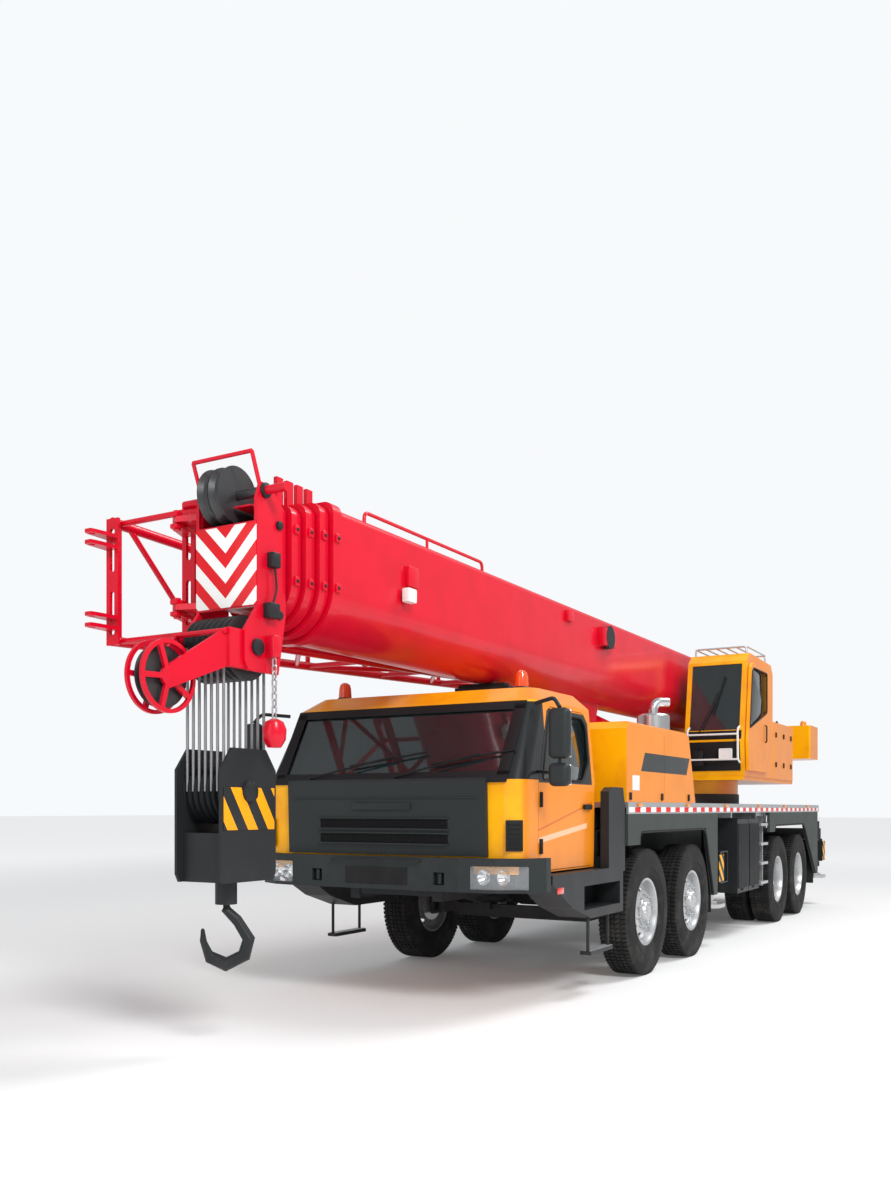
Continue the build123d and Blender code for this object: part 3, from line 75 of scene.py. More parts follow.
class Wire:
    """A shader socket on which arithmetic adds Math nodes."""

    def __init__(self, graph: "Graph", socket: bpy.types.NodeSocket) -> None:
        """Wraps an output socket of a graph."""
        self.graph = graph
        self.socket = socket

    def _math(self, operation: str, *values: "Wire | float") -> "Wire":
        """Adds one Math node.

        Args:
            operation: Blender's name of the operation.
            values: its inputs in order.

        Returns:
            The node's result.
        """
        return self.graph.node("ShaderNodeMath", {"operation": operation}, dict(enumerate(values)))

    def __add__(self, other: "Wire | float") -> "Wire":
        """This plus other."""
        return self._math("ADD", self, other)

    __radd__ = __add__

    def __sub__(self, other: "Wire | float") -> "Wire":
        """This less other."""
        return self._math("SUBTRACT", self, other)

    def __rsub__(self, other: "Wire | float") -> "Wire":
        """Other less this."""
        return self._math("SUBTRACT", other, self)

    def __mul__(self, other: "Wire | float") -> "Wire":
        """This times other."""
        return self._math("MULTIPLY", self, other)

    __rmul__ = __mul__

    def __truediv__(self, other: "Wire | float") -> "Wire":
        """This divided by other."""
        return self._math("DIVIDE", self, other)

    def __gt__(self, other: "Wire | float") -> "Wire":
        """One where this is greater than other."""
        return self._math("GREATER_THAN", self, other)

    def __lt__(self, other: "Wire | float") -> "Wire":
        """One where this is less than other."""
        return self._math("LESS_THAN", self, other)

    def __abs__(self) -> "Wire":
        """The absolute value."""
        return self._math("ABSOLUTE", self)

    def fract(self) -> "Wire":
        """The part after the point."""
        return self._math("FRACT", self)

    def sine(self) -> "Wire":
        """The sine."""
        return self._math("SINE", self)

    def most(self, other: "Wire | float") -> "Wire":
        """The greater of the two."""
        return self._math("MAXIMUM", self, other)

    def within(self, low: float, high: float) -> "Wire":
        """One between two values and zero outside."""
        return (self > low) * (self < high)

    def soft(self, low: float, high: float) -> "Wire":
        """A smooth rise from zero at low to one at high."""
        return self.graph.node("ShaderNodeMapRange", {"interpolation_type": "SMOOTHSTEP"},
                               {"Value": self, "From Min": low, "From Max": high})


class Graph:
    """The node tree of one material."""

    def __init__(self, name: str) -> None:
        """Starts a material with an empty tree."""
        self.material = bpy.data.materials.new(name)
        self.material.use_nodes = True
        self.tree = self.material.node_tree
        self.tree.nodes.clear()

    def node(self, kind: str, settings: Optional[dict] = None, inputs: Optional[dict] = None,
             output: int | str | None = 0) -> Optional[Wire]:
        """Adds any node.

        Args:
            kind: the node's type.
            settings: its properties, set first.
            inputs: values or wires by socket name or number.
            output: which output is wanted, or None for a node without one.

        Returns:
            The wanted output.
        """
        made = self.tree.nodes.new(kind)
        for key, value in (settings or {}).items():
            setattr(made, key, value)
        for key, value in (inputs or {}).items():
            socket = made.inputs[key]
            if isinstance(value, Wire):
                self.tree.links.new(value.socket, socket)
            elif isinstance(value, tuple) and len(value) == 3 and socket.type == "RGBA":
                socket.default_value = (*value, 1.0)
            else:
                socket.default_value = value
        return None if output is None else Wire(self, made.outputs[output])

    def place(self) -> Wire:
        """The point in the crane's frame, as a vector."""
        return self.node("ShaderNodeTexCoord", output="Object")

    def split(self, vector: Wire) -> tuple[Wire, Wire, Wire]:
        """The three parts of a vector."""
        first = self.node("ShaderNodeSeparateXYZ", inputs={0: vector})
        _, second, third = first.socket.node.outputs
        return first, Wire(self, second), Wire(self, third)

    def axes(self) -> tuple[Wire, Wire, Wire]:
        """X, Y and Z of the point in the crane's frame."""
        return self.split(self.place())

    def facing(self) -> tuple[Wire, Wire, Wire]:
        """X, Y and Z of the surface's direction in the crane's frame."""
        return self.split(self.node("ShaderNodeTexCoord", output="Normal"))

    def noise(self, scale: float, detail: float = 4.0, stretch: Optional[Point] = None) -> Wire:
        """Cloudy noise from zero to one, stretched by a factor along each axis where wanted."""
        place = self.place()
        if stretch:
            place = self.node("ShaderNodeMapping", inputs={"Vector": place, "Scale": tuple(stretch)})
        return self.node("ShaderNodeTexNoise", inputs={"Vector": place, "Scale": scale, "Detail": detail})

    def blend(self, share: "Wire | float", low: "Wire | Colour", high: "Wire | Colour") -> Wire:
        """Mixes two colours."""
        mixed = self.node("ShaderNodeMix", {"data_type": "RGBA"}, output=2)
        node = mixed.socket.node
        for index, value in ((0, share), (6, low), (7, high)):
            if isinstance(value, Wire):
                self.tree.links.new(value.socket, node.inputs[index])
            elif isinstance(value, tuple):
                node.inputs[index].default_value = (*value, 1.0)
            else:
                node.inputs[index].default_value = value
        return mixed

    def bump(self, height: Wire, strength: float, distance: float) -> Wire:
        """A bump from a height."""
        return self.node("ShaderNodeBump",
                         inputs={"Height": height, "Strength": strength, "Distance": distance})

    def surface(self, **sockets: "Wire | float | Colour") -> bpy.types.Material:
        """Ends the tree with a Principled shader.

        Args:
            sockets: values or wires by the shader's socket names, with _ for a space.

        Returns:
            The finished material.
        """
        shader = self.node("ShaderNodeBsdfPrincipled",
                           inputs={key.replace("_", " "): value for key, value in sockets.items()})
        self.node("ShaderNodeOutputMaterial", inputs={"Surface": shader}, output=None)
        return self.material


@dataclass(frozen=True)
class Finish:
    """A finish with cloudy colour, settled dust, a fine surface relief and, where given, painted sunlight as
    a lighter colour on forward faces.

    The dust lies on upward faces and rises from the ground along the sides.
    """

    name: str
    colour: Colour
    roughness: float
    metallic: float = 0.0
    coat: float = 0.0
    shade: float = 0.85
    shine: float = 0.25
    cloud: float = 3.0
    dust: float = 0.05
    dust_colour: Colour = (0.38, 0.34, 0.28)
    grain: float = 240.0
    relief: float = 0.0004
    # painted sunlight: a lighter colour for the faces that look forward
    front_colour: Optional[Colour] = None
    pattern: Optional[Callable[[Graph, Wire], Wire]] = None

    def dress(self) -> bpy.types.Material:
        """Builds the material."""
        graph = Graph(self.name)
        clouds = graph.noise(self.cloud)
        base: Wire | Colour = self.colour
        # painted sunlight: faces that look forward blend into the lighter front colour
        if self.front_colour:
            _, forward, _ = graph.facing()
            base = graph.blend((0.0 - forward).soft(0.35, 0.7), self.colour, self.front_colour)
        darker = tuple(value * self.shade for value in self.colour)
        shaded = graph.blend(clouds.soft(0.35, 0.75) * 0.5, base, darker)
        if self.pattern:
            shaded = self.pattern(graph, shaded)
        _, _, height = graph.axes()
        _, _, upward = graph.facing()
        low = 1.0 - height.soft(0.2, 1.7)
        patchy = graph.noise(7.0, 8.0).soft(0.42, 0.8)
        settled = (low * 0.7 + upward.soft(0.5, 1.0) * 0.5) * patchy * self.dust
        colour = graph.blend(settled, shaded, self.dust_colour)
        rough = settled * 0.5 + clouds * 0.12 + (self.roughness - 0.06)
        fine = graph.noise(self.grain, 3.0)
        return graph.surface(Base_Color=colour, Roughness=rough, Metallic=self.metallic,
                             Specular_IOR_Level=self.shine, Coat_Weight=self.coat, Coat_Roughness=0.08,
                             Normal=graph.bump(fine, 0.35, self.relief))


def diagonal(pitch: float, slope: float, share: float, other: Colour,
             along: str = "y") -> Callable[[Graph, Wire], Wire]:
    """A pattern of slanted bands in a second colour.

    Args:
        pitch: distance from band to band along the chosen axis.
        slope: how far a band moves along for each metre up.
        share: the band's share of the pitch.
        other: the band's colour.
        along: x, y or the letters ax for chevrons about the middle.

    Returns:
        A function for Finish.pattern.
    """
    def paint(graph: Graph, base: Wire) -> Wire:
        """Mixes the bands in."""
        x, y, z = graph.axes()
        run = {"x": x, "y": y, "ax": abs(x)}[along]
        band = ((run + z * slope) / pitch + 50.0).fract() < share
        return graph.blend(band, base, other)
    return paint


ORANGE: Colour = (0.83, 0.25, 0.008)
# the orange paint as the sun lights it on forward faces: painted sunlight
SUNLIT_ORANGE: Colour = (0.98, 0.47, 0.002)
PILLAR_BLACK: Colour = (0.01, 0.012, 0.013)


def hood_band(graph: Graph, base: Wire) -> Wire:
    """The dark band with slanted ends along the hood's side."""
    _, y, z = graph.axes()
    lean = y - z * 0.6
    band = z.within(1.965, 2.145) * lean.within(station(-0.2) - 1.24, station(1.22) - 1.24)
    return graph.blend(band, base, (0.012, 0.016, 0.018))


def door_band(graph: Graph, base: Wire) -> Wire:
    """The pale stripe and the dark line that rise across the door, and its window's black frame."""
    _, y, z = graph.axes()
    rise = z - y * 0.11
    low_edge = 1.37 - station(-1.96) * 0.11
    band = rise.within(low_edge, low_edge + 0.045) * (y < station(-1.32))
    striped = graph.blend(band, base, (0.86, 0.5, 0.3))
    line = (z - y * 0.2).within(1.5 - station(-1.96) * 0.2, 1.515 - station(-1.96) * 0.2)
    striped = graph.blend(line, striped, (0.62, 0.12, 0.004))
    frame_band = z.within(1.815, 2.425) * (y < station(-1.215))
    return graph.blend(frame_band, striped, PILLAR_BLACK)


def screen_surround(graph: Graph, base: Wire) -> Wire:
    """The black pillars and bands round the windscreen, as far back as the doors."""
    _, y, z = graph.axes()
    return graph.blend(z.within(1.835, 2.465) * (y < station(-2.13)), base, PILLAR_BLACK)


def chequer(graph: Graph, base: Wire) -> Wire:
    """Faint raised marks of a tread plate."""
    x, y, _ = graph.axes()
    marks = ((x * 180.0).sine() * (y * 180.0).sine()).soft(0.2, 0.9)
    return graph.blend(marks * 0.35, base, (0.86, 0.87, 0.88))


@dataclass(frozen=True)
class Palette:
    """Every finish on the crane."""

    # the yellow on the forward faces of these finishes is painted sunlight on the orange paint
    orange: Finish = Finish("orange_paint", ORANGE, 0.3, coat=0.3, front_colour=SUNLIT_ORANGE)
    hood: Finish = Finish("hood_paint", ORANGE, 0.3, coat=0.3, front_colour=SUNLIT_ORANGE,
                          pattern=hood_band)
    door: Finish = Finish("door_paint", ORANGE, 0.3, coat=0.3, pattern=door_band)
    cab: Finish = Finish("cab_paint", ORANGE, 0.3, coat=0.3, front_colour=SUNLIT_ORANGE,
                         pattern=screen_surround)
    red: Finish = Finish("boom_red", (0.66, 0.001, 0.02), 0.32, coat=0.3, shade=0.8)
    chevron: Finish = Finish("head_chevrons", (0.7, 0.003, 0.01), 0.35, coat=0.2,
                             pattern=diagonal(0.2, -1.0, 0.5, (0.86, 0.86, 0.84), "ax"))
    hazard: Finish = Finish("hazard_bands", (0.86, 0.85, 0.82), 0.35, coat=0.2,
                            pattern=diagonal(0.16, 1.0, 0.5, (0.7, 0.02, 0.02), "x"))
    hazard_side: Finish = Finish("hazard_side_bands", (0.02, 0.02, 0.02), 0.4,
                                 pattern=diagonal(0.17, 1.0, 0.5, (0.9, 0.42, 0.01), "y"))
    hook_bands: Finish = Finish("hook_block_bands", (0.02, 0.022, 0.024), 0.4,
                                pattern=diagonal(0.2, 0.62, 0.5, (0.98, 0.36, 0.003), "y"))
    tape: Finish = Finish("reflective_tape", (0.72, 0.02, 0.02), 0.35,
                          pattern=diagonal(0.3, 0.0, 0.5, (0.88, 0.88, 0.86), "y"))
    black: Finish = Finish("black_paint", (0.018, 0.02, 0.022), 0.42, dust=0.08)
    sheave: Finish = Finish("sheave_black", (0.03, 0.031, 0.033), 0.3, shine=0.6)
    plastic: Finish = Finish("dark_plastic", (0.022, 0.027, 0.028), 0.5, grain=420.0, relief=0.0006,
                             dust=0.08)
    skirt: Finish = Finish("skirt_plastic", (0.045, 0.055, 0.052), 0.55, grain=380.0, relief=0.0006,
                           dust=0.08)
    rubber: Finish = Finish("tyre_rubber", (0.016, 0.016, 0.017), 0.78, grain=300.0, relief=0.0008, dust=0.14)
    seal: Finish = Finish("rubber_seal", (0.01, 0.01, 0.011), 0.6, dust=0.06)
    silver: Finish = Finish("silver_paint", (0.56, 0.57, 0.58), 0.36, metallic=0.75, dust=0.08)
    bright: Finish = Finish("bare_steel", (0.62, 0.62, 0.63), 0.28, metallic=1.0, dust=0.06, grain=160.0)
    chrome: Finish = Finish("chromed_rod", (0.86, 0.87, 0.88), 0.09, metallic=1.0, dust=0.08, relief=0.0001)
    plate: Finish = Finish("deck_plate", (0.5, 0.51, 0.52), 0.42, metallic=0.8, dust=0.12, pattern=chequer)
    casting: Finish = Finish("castings", (0.035, 0.035, 0.036), 0.6, dust=0.06, grain=120.0, relief=0.001)
    cushion: Finish = Finish("seat_fabric", (0.035, 0.036, 0.042), 0.9, dust=0.1, grain=700.0, relief=0.0008)
    white: Finish = Finish("white_paint", (0.82, 0.82, 0.8), 0.4, dust=0.05)
    wire_rope: Finish = Finish("wire_rope", (0.3, 0.3, 0.31), 0.45, metallic=0.9, dust=0.15, grain=900.0,
                               relief=0.002)
    mesh: Finish = Finish("grille_mesh", (0.008, 0.008, 0.009), 0.5)
    reflector: Finish = Finish("lamp_reflector", (0.85, 0.86, 0.88), 0.12, metallic=1.0, dust=0.0)


@dataclass(frozen=True)
class Glazing:
    """Tinted glass or a coloured lens.

    The pane keeps a little of what lies behind it and gives the coat's reflections.
    """

    name: str
    colour: Colour
    opacity: float
    roughness: float = 0.04

    def dress(self) -> bpy.types.Material:
        """Builds the material."""
        graph = Graph(self.name)
        streaks = graph.noise(5.0, 6.0, (1.0, 1.0, 0.3)).soft(0.45, 0.9)
        colour = graph.blend(streaks * 0.25, self.colour,
                             tuple(min(1.0, value * 1.6 + 0.03) for value in self.colour))
        return graph.surface(Base_Color=colour, Roughness=streaks * 0.12 + self.roughness, Coat_Weight=1.0,
                             Coat_Roughness=0.03, Alpha=self.opacity)


@dataclass(frozen=True)
class Lenses:
    """The glass and the lenses."""

    pane: Glazing = Glazing("tinted_glass", (0.012, 0.022, 0.024), 0.78)
    clear: Glazing = Glazing("clear_lens", (0.7, 0.75, 0.78), 0.16)
    amber: Glazing = Glazing("amber_lens", (0.95, 0.3, 0.01), 0.92, 0.15)
    red: Glazing = Glazing("red_lens", (0.75, 0.015, 0.01), 0.92, 0.15)
    beacon: Glazing = Glazing("beacon_lens", (0.9, 0.09, 0.01), 0.9, 0.12)


class Store:
    """Builds each material once."""

    def __init__(self) -> None:
        """Starts empty."""
        self.made: dict[str, bpy.types.Material] = {}

    def get(self, finish: "Finish | Glazing") -> bpy.types.Material:
        """The material of a finish."""
        if finish.name not in self.made:
            self.made[finish.name] = finish.dress()
        return self.made[finish.name]


PAINT = Palette()
LENS = Lenses()
STORE = Store()


class Bench:
    """Modelling steps that every sub-assembly uses, each one made with Blender's own operators."""

    @staticmethod
    def clear() -> None:
        """Leaves edit mode and deselects everything."""
        if bpy.context.object and bpy.context.object.mode != "OBJECT":
            bpy.ops.object.mode_set(mode="OBJECT")
        bpy.ops.object.select_all(action="DESELECT")

    @staticmethod
    def pick(piece: bpy.types.Object) -> None:
        """Selects one object and makes it active."""
        Bench.clear()
        piece.select_set(True)
        bpy.context.view_layer.objects.active = piece

    @staticmethod
    def settle(piece: bpy.types.Object) -> bpy.types.Object:
        """Puts a piece's place into its mesh."""
        Bench.pick(piece)
        bpy.ops.object.transform_apply(location=True, rotation=True, scale=True)
        return piece

    @staticmethod
    def modify(piece: bpy.types.Object, kind: str, **settings: object) -> bpy.types.Object:
        """Adds one modifier and applies it."""
        Bench.pick(piece)
        modifier = piece.modifiers.new(kind.lower(), kind)
        for key, value in settings.items():
            setattr(modifier, key, value)
        bpy.ops.object.modifier_apply(modifier=modifier.name)
        return piece

    @staticmethod
    def round_edges(piece: bpy.types.Object, width: float, segments: int = 2) -> bpy.types.Object:
        """Rounds the edges of a piece and smooths its faces."""
        if width > 0:
            Bench.modify(piece, "BEVEL", width=width, segments=segments, limit_method="ANGLE")
        Bench.pick(piece)
        bpy.ops.object.shade_smooth_by_angle(angle=math.radians(35))
        return piece

    @staticmethod
    def outward(piece: bpy.types.Object) -> bpy.types.Object:
        """Merges doubles and turns the faces outwards."""
        Bench.pick(piece)
        bpy.ops.object.mode_set(mode="EDIT")
        bpy.ops.mesh.select_all(action="SELECT")
        bpy.ops.mesh.remove_doubles(threshold=0.00005)
        bpy.ops.mesh.normals_make_consistent(inside=False)
        bpy.ops.object.mode_set(mode="OBJECT")
        return piece

    @staticmethod
    def block(low: Point, high: Point, bevel: float = 0.004, inset: float = 0.0,
              face: Optional[Point] = None, depth: float = 0.0) -> bpy.types.Object:
        """A rounded block between two corners, with a recess in one face where wanted.

        Args:
            low: one corner.
            high: the corner across from it.
            bevel: radius of its edges.
            inset: width of the rim round the recess.
            face: direction of the face with the recess.
            depth: depth of the recess.

        Returns:
            The block.
        """
        Bench.clear()
        low_v, high_v = Vector(low), Vector(high)
        bpy.ops.mesh.primitive_cube_add(size=1.0, location=(low_v + high_v) / 2)
        piece = bpy.context.object
        piece.scale = [max(abs(value), 0.0005) for value in (high_v - low_v)]
        Bench.settle(piece)
        if face is not None:
            wanted = Vector(face)
            for polygon in piece.data.polygons:
                polygon.select = polygon.normal.dot(wanted) > 0.9
            bpy.ops.object.mode_set(mode="EDIT")
            bpy.ops.mesh.select_mode(type="FACE")
            bpy.ops.mesh.inset(thickness=inset, depth=-depth)
            bpy.ops.object.mode_set(mode="OBJECT")
        return Bench.round_edges(piece, bevel)

    @staticmethod
    def rod(start: Point, end: Point, radius: float, sides: int = 20, bevel: float = 0.0) -> bpy.types.Object:
        """A round bar between two points."""
        Bench.clear()
        start_v, end_v = Vector(start), Vector(end)
        run = end_v - start_v
        bpy.ops.mesh.primitive_cylinder_add(vertices=sides, radius=radius, depth=run.length,
                                            location=(start_v + end_v) / 2,
                                            rotation=run.to_track_quat("Z", "Y").to_euler())
        piece = Bench.settle(bpy.context.object)
        return Bench.round_edges(piece, bevel)

    @staticmethod
    def pipe(points: Iterable[Point], radius: float, bend: float = 0.05,
             closed: bool = False) -> bpy.types.Object:
        """A bent tube through points, its corners turned on a radius.

        Args:
            points: its corners.
            radius: the tube's radius.
            bend: how far from a corner the turn starts.
            closed: whether it ends where it starts.

        Returns:
            The tube as a mesh.
        """
        corners = [Vector(point) for point in points]
        path: list[Vector] = []
        count = len(corners)
        for index, corner in enumerate(corners):
            if not closed and index in (0, count - 1):
                path.append(corner)
                continue
            before = corners[index - 1] - corner
            after = corners[(index + 1) % count] - corner
            reach = min(bend, before.length * 0.45, after.length * 0.45)
            start, end = corner + before.normalized() * reach, corner + after.normalized() * reach
            for step in range(5):
                share = step / 4
                path.append(start.lerp(corner, share).lerp(corner.lerp(end, share), share))
        data = bpy.data.curves.new("pipe", "CURVE")
        data.dimensions = "3D"
        data.bevel_depth = radius
        data.bevel_resolution = 3
        data.use_fill_caps = not closed
        spline = data.splines.new("POLY")
        spline.points.add(len(path) - 1)
        for knot, place in zip(spline.points, path):
            knot.co = (*place, 1.0)
        spline.use_cyclic_u = closed
        piece = bpy.data.objects.new("pipe", data)
        bpy.context.scene.collection.objects.link(piece)
        Bench.pick(piece)
        bpy.ops.object.convert(target="MESH")
        piece = bpy.context.object
        bpy.ops.object.shade_smooth_by_angle(angle=math.radians(45))
        return piece

    @staticmethod
    def slab(corners: Sequence[Point], thickness: float, bevel: float = 0.002) -> bpy.types.Object:
        """A flat panel with any outline, thickened along its face's direction.

        Args:
            corners: its outline, anticlockwise seen from outside.
            thickness: how far it stands out.
            bevel: radius of its edges.

        Returns:
            The panel.
        """
        Bench.clear()
        data = bpy.data.meshes.new("slab")
        data.from_pydata([tuple(corner) for corner in corners], [], [tuple(range(len(corners)))])
        piece = bpy.data.objects.new("slab", data)
        bpy.context.scene.collection.objects.link(piece)
        Bench.modify(piece, "SOLIDIFY", thickness=thickness, offset=1.0)
        Bench.outward(piece)
        return Bench.round_edges(piece, bevel)

    @staticmethod
    def spun(profile: Sequence[tuple[float, float]], centre: Point, axis: Point = (1, 0, 0),
             steps: int = 48) -> bpy.types.Object:
        """A turned form from an open or closed profile of (along, radius) points.

        Args:
            profile: its half section.
            centre: a point on its axis.
            axis: the axis' direction.
            steps: faces round it.

        Returns:
            The form, faces outwards.
        """
        Bench.clear()
        data = bpy.data.meshes.new("spun")
        points = [(along, 0.0, radius) for along, radius in profile]
        data.from_pydata(points, [(i, i + 1) for i in range(len(points) - 1)], [])
        piece = bpy.data.objects.new("spun", data)
        bpy.context.scene.collection.objects.link(piece)
        Bench.pick(piece)
        bpy.ops.object.mode_set(mode="EDIT")
        bpy.ops.mesh.select_all(action="SELECT")
        bpy.ops.mesh.spin(steps=steps, angle=math.tau, center=(0, 0, 0), axis=(1, 0, 0))
        bpy.ops.object.mode_set(mode="OBJECT")
        Bench.outward(piece)
        turn = Vector((1, 0, 0)).rotation_difference(Vector(axis))
        piece.data.transform(Matrix.Translation(Vector(centre)) @ turn.to_matrix().to_4x4())
        return Bench.round_edges(piece, 0.0)

    @staticmethod
    def copied(piece: bpy.types.Object, change: Matrix) -> bpy.types.Object:
        """A copy with its own mesh, moved by a matrix, faces outwards again after a mirror."""
        twin = piece.copy()
        twin.data = piece.data.copy()
        bpy.context.scene.collection.objects.link(twin)
        twin.data.transform(change)
        if change.determinant() < 0:
            Bench.outward(twin)
        return twin

    @staticmethod
    def row(piece: bpy.types.Object, count: int, step: Point) -> list[bpy.types.Object]:
        """The piece and further copies of it, each one step on."""
        return [piece] + [Bench.copied(piece,
                                       Matrix.Translation(Vector(step) * index)) for index in range(1, count)]

    @staticmethod
    def ring(piece: bpy.types.Object, count: int, centre: Point, axis: str = "X") -> list[bpy.types.Object]:
        """The piece and copies of it, evenly spaced round an axis."""
        middle = Matrix.Translation(Vector(centre))
        turns = [middle @ Matrix.Rotation(math.tau * index / count, 4, axis) @ middle.inverted()
                 for index in range(1, count)]
        return [piece] + [Bench.copied(piece, turn) for turn in turns]

    @staticmethod
    def both(pieces: Sequence[bpy.types.Object]) -> list[bpy.types.Object]:
        """The pieces and their mirror images on the other side."""
        return list(pieces) + [Bench.copied(piece, Matrix.Scale(-1, 4, (1, 0, 0))) for piece in pieces]

    @staticmethod
    def merge(pieces: Sequence[bpy.types.Object]) -> bpy.types.Object:
        """Joins pieces into one without naming it."""
        Bench.clear()
        for piece in pieces:
            piece.select_set(True)
        bpy.context.view_layer.objects.active = pieces[0]
        if len(pieces) > 1:
            bpy.ops.object.join()
        return bpy.context.view_layer.objects.active

    @staticmethod
    def join(name: str, pieces: Sequence[bpy.types.Object], finish: "Finish | Glazing", body: str,
             slot: str) -> bpy.types.Object:
        """Makes one named piece of several, gives it its finish and lets it ride.

        Args:
            name: the piece's name.
            pieces: what it is made of.
            finish: its finish.
            body: the body it moves with.
            slot: the record's material slot; not used.

        Returns:
            The piece.
        """
        whole = Bench.merge(pieces)
        whole.name = name
        whole.data.name = name
        whole.data.materials.clear()
        whole.data.materials.append(STORE.get(finish))
        for polygon in whole.data.polygons:
            polygon.material_index = 0
        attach(whole, body)
        log.info("%s: %d faces", name, len(whole.data.polygons))
        return whole


@dataclass
class Coat:
    """Gives every construction node that stays in view its finish."""

    finishes: dict[str, "Finish | Glazing"] = field(default_factory=lambda: {
        "carrier_cab": PAINT.cab, "cab_door_left": PAINT.door, "cab_door_right": PAINT.door,
        "engine_hood": PAINT.hood, "upper_housing": PAINT.orange, "counterweight": PAINT.orange,
        "operator_cab": PAINT.orange, "operator_door": PAINT.orange, "cab_glass": LENS.pane,
        "operator_glass": LENS.pane, "headlamps": LENS.clear, "front_mask": PAINT.plastic,
        "bumper": PAINT.plastic, "mirrors": PAINT.plastic, "cab_steps": PAINT.black, "deck": PAINT.plate,
        "ladders": PAINT.silver, "wheel_skirts": PAINT.skirt, "exhaust_muffler": PAINT.bright,
        "hoist_rope": PAINT.wire_rope, "luff_cylinder_rod": PAINT.chrome, "axles": PAINT.casting,
        "leaf_springs": PAINT.casting, "engine_block": PAINT.casting, "slew_ring": PAINT.casting,
        "cab_interior": PAINT.cushion, "operator_seat": PAINT.cushion, "turntable_frame": PAINT.orange,
        "lattice_jib": PAINT.red, "hook": PAINT.black, "hook_block": PAINT.black,
        "head_sheaves": PAINT.sheave,
        "luff_cylinder_barrel": PAINT.red,
    })

    def apply(self) -> None:
        """Assigns the finishes."""
        for name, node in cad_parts.items():
            finish = self.finishes.get(name, PAINT.black)
            if name.startswith("boom_"):
                finish = PAINT.red
            elif name.startswith("knuckle"):
                finish = PAINT.casting
            elif name.startswith("outrigger_jack"):
                finish = PAINT.silver
            node.data.materials.clear()
            node.data.materials.append(STORE.get(finish))
        log.info("finishes on %d nodes", len(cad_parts))


